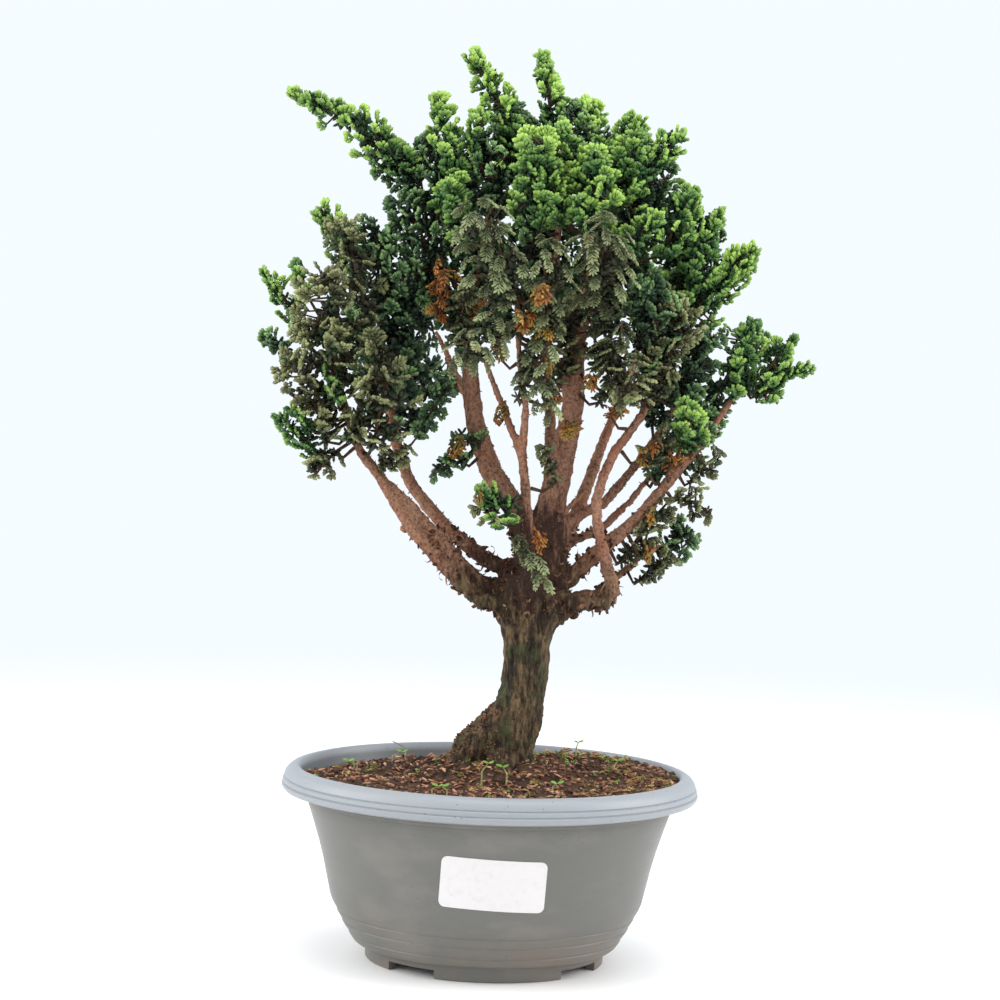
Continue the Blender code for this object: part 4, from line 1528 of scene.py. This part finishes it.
FILLERS: list[tuple] = [
    # the big left plume and the tufts beside it
    ("dark", (-37, 6, 368), (-72, 2, 407), 13),
    ("dark", (-26, 2, 369), (-44, 0, 408), 14),
    ("fresh", (-19, -10, 401), (-16, -12, 420), 9),
    ("dark", (-3, 2, 371), (-19, 6, 410), 19),
    ("fresh", (-35, -8, 374), (-24, -30, 385), 9),
    # the crown's top
    ("dark", (10, 8, 379), (-5, 8, 426), 13),
    ("dark", (32, 8, 385), (24, 8, 427), 14),
    ("fresh", (40, -18, 376), (20, -32, 410), 16),
    ("fresh", (54, -18, 381), (62, -26, 411), 15),
    ("fresh", (25, -30, 366), (7, -38, 398), 14),
    ("fresh", (41, -30, 375), (39, -44, 399), 14),
    ("dark", (46, 14, 368), (47, 16, 414), 23),
    ("dark", (23, 12, 368), (13, 14, 412), 20),
    ("dark", (55, -4, 365), (77, -4, 400), 14),
    ("fresh", (43, -30, 351), (31, -42, 378), 14),
    # the right of the crown
    ("fresh", (76, -14, 353), (86, -20, 386), 16),
    ("fresh", (91, -10, 339), (100, -14, 377), 14),
    ("fresh", (97, -8, 336), (121, -12, 358), 10),
    ("dark", (91, 8, 325), (95, 10, 371), 19),
    ("old", (74, -18, 282), (88, -26, 329), 14),
    ("old", (66, -22, 284), (75, -30, 335), 12),
    ("dark", (89, 2, 270), (96, 2, 320), 13),
    ("dark", (75, 10, 269), (81, 12, 330), 14),
    ("fresh", (114, 2, 285), (122, -4, 323), 14),
    ("fresh", (126, 0, 290), (142, -4, 316), 11),
    ("dark", (100, 8, 271), (115, 8, 300), 12),
    ("dark", (93, 4, 257), (102, 4, 281), 12),
    ("old", (94, -2, 242), (107, -6, 256), 9),
    ("old", (62, -4, 201), (83, -8, 232), 13),
    ("old", (71, 6, 191), (86, 4, 205), 11),
    ("dark", (77, 8, 242), (85, 8, 262), 13),
    ("old", (72, -12, 248), (81, -16, 268), 10),
    # the middle
    ("fern", (9, -38, 313), (-5, -52, 352), 18),
    ("fern", (19, -36, 309), (19, -48, 350), 17),
    ("fern", (7, -30, 280), (15, -42, 311), 11),
    ("fern", (46, -26, 315), (43, -44, 357), 18),
    ("fern", (47, -20, 280), (56, -36, 313), 14),
    ("old", (27, -8, 289), (34, -18, 327), 13),
    ("dark", (17, 12, 327), (15, 12, 377), 24),
    ("dark", (47, 16, 325), (56, 16, 369), 22),
    ("dark", (-12, 8, 313), (-20, 6, 358), 19),
    ("dark", (-18, 6, 301), (-27, -8, 328), 12),
    ("old", (-25, -6, 308), (-18, -30, 332), 11),
    # the left
    ("old", (-67, -18, 314), (-82, -16, 363), 17),
    ("old", (-78, -28, 277), (-92, -32, 317), 18),
    ("old", (-62, -22, 267), (-63, -34, 308), 16),
    ("old", (-84, -26, 256), (-93, -28, 277), 13),
    ("dark", (-53, 4, 276), (-56, 8, 335), 21),
    ("dark", (-48, 6, 310), (-38, 6, 350), 14),
    ("dark", (-64, 2, 344), (-67, -4, 367), 12),
    ("fresh", (-99, -14, 329), (-104, -16, 343), 7),
    ("fresh", (-80, -34, 276), (-87, -38, 291), 10),
    ("fresh", (-92, -28, 261), (-104, -30, 272), 10),
    ("old", (-61, -20, 262), (-49, -26, 266), 10),
    ("old", (-73, -24, 259), (-70, -34, 271), 14),
    # tufts low in the middle
    ("dark", (-12, 2, 258), (-25, -2, 259), 8),
    ("old", (0, -26, 220), (-11, -30, 228), 8),
    ("old", (27, -18, 240), (20, -30, 256), 8),
]
DRY_TUFTS: list[tuple[int, int, int]] = [
    (7, -44, 313), (20, -42, 308), (15, -38, 292), (28, -26, 280), (-1, -30, 298),
    (-18, -14, 317), (44, -30, 289), (35, -18, 265), (68, -14, 251), (82, -12, 246),
    (75, -12, 222), (20, -30, 205), (-11, -30, 230), (-24, -6, 251), (-53, -24, 252),
    (-63, -26, 255), (75, -6, 202), (-4, -14, 269), (11, -60, 327), (52, -20, 274),
]


@dataclass
class Crown:
    """All the foliage: a plume for each leafy solid, and fillers that join the nearest one.

    Each row of PLUMES gives a plume's kind, its foot and its tip from the pot's axis and
    its widest radius, in millimetres, in the order of the solids' names. FILLERS has the
    same rows for the gaps between them, and DRY_TUFTS the places of small dry fans.
    """

    axis: Vector
    wood: BVHTree
    variants: int = 4
    hidden_share: float = 0.66
    knot_shares: tuple = (0.1, 0.3, 0.5, 0.7, 0.9)
    branch_radius: float = 1.0 * MM
    branch_sag: float = 3.0 * MM
    tuft_coverage: float = 0.9
    seed: int = 5

    def __post_init__(self) -> None:
        """Prepares the moulds, the materials and the crown's reach."""
        self.moulds = {kind: [leaf_burst(self.seed)] + [FAN_PATTERNS[kind].mould(self.seed + k)
                                                        for k in range(self.variants)] for kind in Kind}
        self.materials = {kind: LEAF_FINISHES[kind].make() for kind in Kind}
        boxes = [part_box(name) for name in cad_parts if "_spray_" in name]
        low = Vector([min(b[0][i] for b in boxes) for i in range(3)])
        high = Vector([max(b[1][i] for b in boxes) for i in range(3)])
        self.centre, self.reach = (low + high) / 2, (high - low) / 2

    def ratio(self, place: Vector) -> Vector:
        """How far a place lies from the crown's centre, as shares of the crown's reach."""
        away = place - self.centre
        return Vector((away.x / self.reach.x, away.y / self.reach.y, away.z / self.reach.z))

    def light(self, place: Vector) -> float:
        """How near a place is to the outside of the crown, 0 to 1."""
        ratio = self.ratio(place)
        # Painted light for the fans' tone: higher towards the outside and the top of the crown.
        return min(1.0, max(0.0, ratio.length * 1.2 - 0.35 + 0.3 * ratio.z))

    def faces_in(self, place: Vector, out: Vector) -> bool:
        """Whether a direction at a place points into the crown."""
        return out.dot(self.ratio(place)) < -0.1

    def hides(self, place: Vector, own: Plume) -> bool:
        """Whether a place lies deep inside a plume other than its own."""
        gaps = np.linalg.norm(self.knots[:, :3] - np.array(place), axis=1)
        return bool(np.any((gaps < self.knots[:, 3]) & (self.owners != id(own))))

    def plume(self, row: tuple, rng: random.Random) -> Plume:
        """The plume of one row."""
        foot, tip = (self.axis + Vector(point) * MM for point in row[1:3])
        return Plume(Kind(row[0]), foot, tip, row[3] * MM, rng)

    def grow(self, plume: Plume, setting: Setting, twigs: Twigs) -> None:
        """Grows a plume on a branch from the nearest wood.

        Args:
            plume: The plume.
            setting: Takes its fans.
            twigs: Takes its stems.
        """
        bark = self.wood.find_nearest(plume.foot)[0]
        bend = bark.lerp(plume.foot, 0.5) - UP * self.branch_sag
        twigs.add([bark, bend, plume.foot], self.branch_radius)
        plume.grow(setting, twigs, self)

    def build(self) -> None:
        """Grows the plumes in place of their solids."""
        twigs = Twigs("leafy_twigs")
        rng = random.Random(self.seed)
        counters: dict[str, int] = {}
        plumes, settings = {}, {}
        for row in PLUMES:
            plume = self.plume(row, rng)
            solid = "old" if plume.kind is Kind.FERN else row[0]
            counters[solid] = counters.get(solid, 0) + 1
            name = f"{solid}_spray_{counters[solid]:02d}"
            plumes[name], settings[name] = plume, Setting(self.moulds[plume.kind])
        fillers = [self.plume(row, rng) for row in FILLERS]
        knots = [(*plume.line(t), plume.width(t) * self.hidden_share, id(plume))
                 for plume in (*plumes.values(), *fillers) for t in self.knot_shares]
        self.knots = np.array([knot[:4] for knot in knots])
        self.owners = np.array([knot[4] for knot in knots])
        for name, plume in plumes.items():
            self.grow(plume, settings[name], twigs)
        for plume in fillers:
            name = min((n for n in plumes if plumes[n].kind is plume.kind),
                       key=lambda n: (plumes[n].line(0.5) - plume.line(0.5)).length)
            self.grow(plume, settings[name], twigs)
        for name, setting in settings.items():
            kind = plumes[name].kind
            leaves = setting.build(name + "_fans", inside=True)
            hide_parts(name)
            dress(leaves, self.materials[kind])
        self.build_dry_tufts(rng, twigs)
        twigs.build(EarthFinish("twig_bark", (66, 48, 36), (122, 92, 68), (160, 124, 92)).make())

    def build_dry_tufts(self, rng: random.Random, twigs: Twigs) -> None:
        """Adds the small dry fans that hang between the branches.

        Args:
            rng: The source of the draws.
            twigs: Takes their stems.
        """
        dry = Setting(self.moulds[Kind.DRIED])
        for spot in DRY_TUFTS:
            foot = self.axis + Vector(spot) * MM
            lean = Vector((rng.uniform(-7.0, 7.0), rng.uniform(-10.0, -4.0), rng.uniform(-2.0, 9.0)))
            tuft = Plume(Kind.DRIED, foot, foot + lean * MM, rng.uniform(4.0, 6.0) * MM, rng,
                         coverage=self.tuft_coverage)
            self.grow(tuft, dry, twigs)
        dress(dry.build("dry_tufts"), self.materials[Kind.DRIED])


@dataclass
class SoilBed:
    """The crust on the soil with its crumbs, bark, litter and moss.

    Its waves are (lumps a metre, height in millimetres, level of the noise), and its sides
    are (radius, height) in millimetres from the top down. Sizes of loose bits are scales.
    """

    pot: Pot
    radius: float = 93.2 * MM
    columns: int = 124
    rows: int = 104
    waves: tuple = ((95.0, 1.6, 1.0), (330.0, 1.0, 4.0), (800.0, 0.55, 9.0))
    wave_lift: float = 0.9
    crust_gap: float = 0.4 * MM
    sink: float = 6.0 * MM
    wall_gap: float = 0.9 * MM
    sides: tuple = ((90.4, 82.0), (81.2, 58.0), (72.8, 27.5), (61.6, 11.0))
    ray_top: float = 200.0 * MM
    lowest: float = 88.0 * MM
    over_trunk: float = 96.0 * MM
    reading_edge: float = 0.97
    tones: tuple[float, float, float] = (0.25, 0.35, 120.0)
    strewn_to: float = 0.985
    crumb_count: int = 1500
    chip_count: int = 1000
    litter_count: int = 440
    moss_count: int = 1000
    bank: Triple = (52.0 * MM, 42.0 * MM, 24.0 * MM)
    moss_lumps: float = 60.0
    seed: int = 21

    def __post_init__(self) -> None:
        """Prepares the soil's solid for height readings."""
        self.solid = tree_of(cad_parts["soil"])

    def outward(self, x: float, y: float) -> float:
        """How far out a place is, 1 at the crust's edge."""
        away = Vector((x - self.pot.axis.x, (y - self.pot.axis.y) / self.pot.depth_share))
        return away.length / self.radius

    def height(self, x: float, y: float) -> float:
        """The height of the soil's solid.

        Args:
            x: The place along X.
            y: The place along Y.

        Returns:
            Its height, or that of the soil round the trunk over the trunk's hole.
        """
        pull = min(1.0, self.reading_edge / max(0.01, self.outward(x, y)))
        spot = self.pot.axis.lerp(Vector((x, y, 0.0)), pull)
        hit = self.solid.ray_cast(Vector((spot.x, spot.y, self.ray_top)), -UP)[0]
        return hit.z if hit and hit.z > self.lowest else self.over_trunk

    def sunk(self, x: float, y: float) -> float:
        """How far the soil has settled at the back left, along the wall.

        Args:
            x: The place along X.
            y: The place along Y.

        Returns:
            The drop in metres.
        """
        right = (x - self.pot.axis.x) / self.radius
        back = (y - self.pot.axis.y) / (self.radius * self.pot.depth_share)
        side = min(1.0, max(0.0, (0.9 * back - 0.6 * right - 0.3) / 0.5))
        edge = min(1.0, max(0.0, (self.outward(x, y) - 0.45) / 0.4))
        return self.sink * side * edge * edge * (3.0 - 2.0 * edge)

    def crust_height(self, x: float, y: float) -> float:
        """The height of the crust with its lumps."""
        rise = sum(lumps(x, y, per_metre, level) * high for per_metre, high, level in self.waves)
        return self.height(x, y) + self.crust_gap + max(0.0, rise + self.wave_lift) * MM - self.sunk(x, y)

    def build_crust(self) -> None:
        """Makes the lumpy top of the soil, and sides that run down inside the pot."""
        crust = shape(bpy.ops.mesh.primitive_grid_add, "soil_crust",
                      (self.radius, self.radius * self.pot.depth_share, 1.0), size=2.0,
                      x_subdivisions=self.columns, y_subdivisions=self.rows, location=self.pot.axis)
        for part in (*crust.data.vertices, *crust.data.edges):
            part.select = False
        bpy.context.tool_settings.mesh_select_mode = (False, False, True)
        for face in crust.data.polygons:
            face.select = self.outward(*face.center.xy) > 1.0
        with editing(crust, everything=False):
            bpy.ops.mesh.delete(type="FACE")
        for vert in crust.data.vertices:
            vert.co.z = self.crust_height(vert.co.x, vert.co.y)
            away = self.outward(*vert.co.xy)
            if away > 0.99:
                wall = self.pot.inner_radius(vert.co.z) - self.wall_gap
                shift = (vert.co - self.pot.axis) * (wall / (away * self.radius))
                vert.co.xy = (self.pot.axis + shift).xy
        with editing(crust):
            bpy.ops.mesh.select_mode(type="EDGE")
            bpy.ops.mesh.select_all(action="DESELECT")
            bpy.ops.mesh.select_non_manifold()
            radius = self.radius / MM
            for ring, level in self.sides:
                bpy.ops.mesh.extrude_region_move()
                bpy.ops.transform.resize(value=(ring / radius, ring / radius, 0.0),
                                         center_override=(*self.pot.axis.xy, level * MM))
                radius = ring
            bpy.ops.mesh.edge_face_add()
            face_out()
            bpy.ops.mesh.select_mode(type="VERT")
        tone = crust.data.attributes.new("tone", "FLOAT", "POINT")
        base, spread, per_metre = self.tones
        for vert, number in zip(crust.data.vertices, tone.data):
            number.value = base + spread * noise.noise(vert.co * per_metre)
        crust.data.shade_smooth()
        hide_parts("soil")
        dress(crust, EarthFinish("peat", (30, 21, 15), (82, 58, 44), (142, 104, 80)).make())

    def spread(self, moulds: list[Mould], count: int, sizes: tuple[float, float], rng: random.Random,
               wanted: Callable[[float, float], float] = lambda x, y: 1.0, rise: float = 0.3,
               tilt: float = 0.5) -> Setting:
        """Strews copies over the crust.

        Args:
            moulds: The shapes.
            count: How many are tried.
            sizes: The least and the greatest scale.
            rng: The source of the draws.
            wanted: The chance that a place takes one.
            rise: How many millimetres each lies above the crust.
            tilt: How steeply each may lie, in radians.

        Returns:
            The copies' places.
        """
        setting = Setting(moulds)
        for _ in range(count):
            turn, away = rng.uniform(0.0, math.tau), math.sqrt(rng.random()) * self.strewn_to
            x = self.pot.axis.x + math.cos(turn) * away * self.radius
            y = self.pot.axis.y + math.sin(turn) * away * self.radius * self.pot.depth_share
            if rng.random() > wanted(x, y):
                continue
            place = Vector((x, y, self.crust_height(x, y) + rise * MM))
            lie = (Matrix.Rotation(rng.uniform(0.0, math.tau), 4, "Z")
                   @ Matrix.Rotation(rng.uniform(-tilt, tilt), 4, "X")
                   @ Matrix.Rotation(rng.uniform(-tilt, tilt), 4, "Y"))
            setting.add(rng.randrange(len(moulds)),
                        Matrix.Translation(place) @ lie @ Matrix.Scale(rng.uniform(*sizes), 4),
                        rng.random())
        return setting

    def litter_chance(self, x: float, y: float) -> float:
        """More dry leaf lies at the right and in front."""
        side = (x - self.pot.axis.x) / self.radius
        return 0.32 + 0.6 * max(-0.4, side) - 0.15 * (y - self.pot.axis.y) / self.radius

    def moss_chance(self, x: float, y: float) -> float:
        """The chance of moss, which grows on the bank at the back right and in small patches.

        Args:
            x: The place along X.
            y: The place along Y.

        Returns:
            The chance, 0 to 1.
        """
        right, back, reach = self.bank
        bank = math.dist((x, y), (self.pot.axis.x + right, self.pot.axis.y + back)) / reach
        patch = lumps(x, y, self.moss_lumps, 5.0)
        return max(math.exp(-bank ** 2), 1.0 if patch > 0.42 else 0.02)

    def build_loose(self) -> None:
        """Strews crumbs, bark chips, dry litter and moss."""
        rng = random.Random(self.seed)
        bits = self.spread(crumbs(0, 5, (2.2, 1.9, 1.5)), self.crumb_count, (0.35, 1.25), rng)
        peat = EarthFinish("peat_crumb", (36, 25, 18), (106, 76, 58), (176, 132, 104), 500.0)
        dress(bits.build("peat_crumbs"), peat.make())
        chips = self.spread(crumbs(20, 5, (6.0, 2.6, 1.1)), self.chip_count, (0.25, 0.85), rng, rise=0.7)
        bark = EarthFinish("bark_chip", (74, 47, 36), (152, 103, 80), (212, 166, 134), 400.0)
        dress(chips.build("bark_chips"), bark.make())
        litter = self.spread([LITTER_PATTERN.mould(40 + k) for k in range(3)], self.litter_count,
                             (0.4, 0.95), rng, self.litter_chance, rise=1.1)
        dry = LeafFinish("fallen_leaf", (92, 58, 32), (150, 106, 60), (198, 164, 106), (116, 120, 60), 0.5)
        dress(litter.build("fallen_leaves"), dry.make())
        moss = self.spread([MOSS_PATTERN.mould(60 + k) for k in range(2)], self.moss_count,
                           (0.3, 0.8), rng, self.moss_chance, rise=0.5, tilt=0.9)
        green = LeafFinish("moss", (40, 56, 18), (88, 122, 40), (150, 178, 74), (84, 74, 34))
        dress(moss.build("moss"), green.make())


@dataclass
class Seedlings:
    """Thin pale stems with small round leaves that came up in the soil.

    Each row gives the place from the pot's axis and the stem's lean and height in
    millimetres, and how many leaves it has.
    """

    soil: SoilBed
    rows: tuple = (
        (-4.0, -46.0, (3.0, -2.0, 13.0), 2), (8.0, -40.0, (-2.0, 1.0, 9.0), 2),
        (-44.0, 34.0, (-7.0, 0.0, 9.0), 0), (-50.0, 22.0, (5.0, -2.0, 7.0), 2),
        (-66.0, -12.0, (-4.0, -4.0, 6.0), 2), (-27.0, -68.0, (3.0, 0.0, 5.0), 2),
        (-20.0, -70.0, (-2.0, -1.0, 6.0), 1), (44.0, 38.0, (1.0, 0.0, 8.0), 2),
        (62.0, 4.0, (2.0, 2.0, 6.0), 2), (-69.0, 14.0, (-3.0, 1.0, 5.0), 1),
        (30.0, -55.0, (2.0, -1.0, 5.0), 2),
    )
    stem_radius: float = 0.45 * MM
    rooted: float = 0.5 * MM
    leaf_shape: Triple = (1.1, 0.85, 0.16)
    leaf_cup: float = 0.12
    leaf_size: float = 1.5
    seed: int = 3

    def leaf(self) -> Mould:
        """Models a round leaf that grows along X.

        Returns:
            The mould.
        """
        leaf = shape(bpy.ops.mesh.primitive_uv_sphere_add, "seed_leaf", self.leaf_shape,
                     segments=12, ring_count=6, radius=MM, location=(self.leaf_shape[0] * MM, 0.0, 0.0))
        for vert in leaf.data.vertices:
            vert.co.z += self.leaf_cup * (vert.co.x / MM - 1.0) ** 2 * MM
        return Mould.of(leaf)

    def build(self) -> None:
        """Plants them."""
        rng = random.Random(self.seed)
        stems = Twigs("seedling_stems")
        leaves = Setting([self.leaf()])
        for x, y, lean, count in self.rows:
            spot = self.soil.pot.axis + Vector((x, y, 0.0)) * MM
            foot = Vector((spot.x, spot.y, self.soil.crust_height(spot.x, spot.y) - self.rooted))
            top = foot + Vector(lean) * MM
            bow = foot.lerp(top, 0.5) + Vector((-lean[0] * 0.5, -lean[1] * 0.4, lean[2] * 0.15)) * MM
            stems.add([foot, foot.lerp(bow, 0.5), bow, bow.lerp(top, 0.5), top], self.stem_radius)
            for k in range(count):
                turn = rng.uniform(-0.4, 0.4) + math.pi * k
                along = Vector((math.cos(turn), math.sin(turn), 0.35))
                leaves.add(0, aim(top, along, Vector((0.0, 1.0, 0.3)),
                                  self.leaf_size * rng.uniform(0.7, 1.1)), rng.uniform(0.5, 0.9))
        stems.build(EarthFinish("pale_stem", (150, 148, 96), (196, 196, 150), (226, 222, 192)).make())
        green = LeafFinish("seed_leaf", (74, 112, 40), (124, 166, 62), (176, 210, 104), (120, 160, 70))
        dress(leaves.build("seed_leaves"), green.make())


@dataclass
class Studio:
    """Pale floor, soft lights and the photograph's camera.

    Each lamp is (name, place, size, power). The pitch and the roll are in degrees.
    """

    pot: Pot
    camera_back: float = 1.100
    camera_height: float = 0.2833
    pitch: float = 2.79
    roll: float = 2.05
    focal_px: float = 2216.0
    image_px: float = 1000.0
    sensor: float = 36.0
    floor_radius: float = 1.4
    floor_gap: float = 0.05 * MM
    sky: Colour = (240, 247, 254)
    sky_strength: float = 1.05
    lamps: tuple = (("left", (-1.35, -0.3, 0.9), 1.1, 16.0), ("overhead", (0.1, -0.2, 1.5), 1.1, 9.0),
                    ("right", (1.35, -0.2, 0.85), 1.0, 14.0))
    lit_place: Triple = (0.0, 0.0, 0.24)

    def build(self) -> None:
        """Makes the stage."""
        self.lay_floor()
        self.set_lights()
        self.set_camera()

    def lay_floor(self) -> None:
        """Lays a round floor under the pot."""
        floor = shape(bpy.ops.mesh.primitive_circle_add, "floor", vertices=96, radius=self.floor_radius,
                      fill_type="NGON", location=(0.0, 0.0, -self.floor_gap))
        floor.data.materials.append(FloorFinish().make())

    def set_lights(self) -> None:
        """Sets a pale sky and three large soft lamps."""
        world = bpy.data.worlds.new("pale_sky")
        bpy.context.scene.world = world
        world.use_nodes = True
        background = world.node_tree.nodes["Background"]
        background.inputs["Color"].default_value = (*shade(self.sky), 1.0)
        background.inputs["Strength"].default_value = self.sky_strength
        for name, place, size, power in self.lamps:
            lamp = bpy.data.lights.new(name, "AREA")
            lamp.size = size
            lamp.energy = power
            obj = linked(name, lamp)
            obj.location = place
            away = Vector(self.lit_place) - Vector(place)
            obj.rotation_euler = away.to_track_quat("-Z", "Y").to_euler()

    def set_camera(self) -> None:
        """Sets the camera in front of the pot's axis, a little down and rolled."""
        data = bpy.data.cameras.new("camera")
        data.sensor_width = self.sensor
        data.lens = self.focal_px * self.sensor / self.image_px
        camera = linked("camera", data)
        down = math.radians(self.pitch)
        view = Vector((0.0, math.cos(down), -math.sin(down)))
        turn = (view.to_track_quat("-Z", "Y").to_matrix()
                @ Matrix.Rotation(math.radians(self.roll), 3, "Z"))
        place = Vector((self.pot.axis.x, self.pot.axis.y - self.camera_back, self.camera_height))
        camera.matrix_world = Matrix.Translation(place) @ turn.to_4x4()
        bpy.context.scene.camera = camera
        bpy.context.scene.view_settings.view_transform = "Standard"


def main() -> None:
    """Builds every piece in order."""
    logging.basicConfig(level=logging.INFO, format="%(name)s %(message)s")
    pot = Pot()
    shell = pot.build()
    pot.build_label(shell)
    maker = Wood()
    wood = maker.build()
    maker.build_loose(wood)
    Crown(pot.axis, tree_of(wood)).build()
    soil = SoilBed(pot)
    soil.build_crust()
    soil.build_loose()
    Seedlings(soil).build()
    Studio(pot).build()


if __name__ == "__main__":
    main()
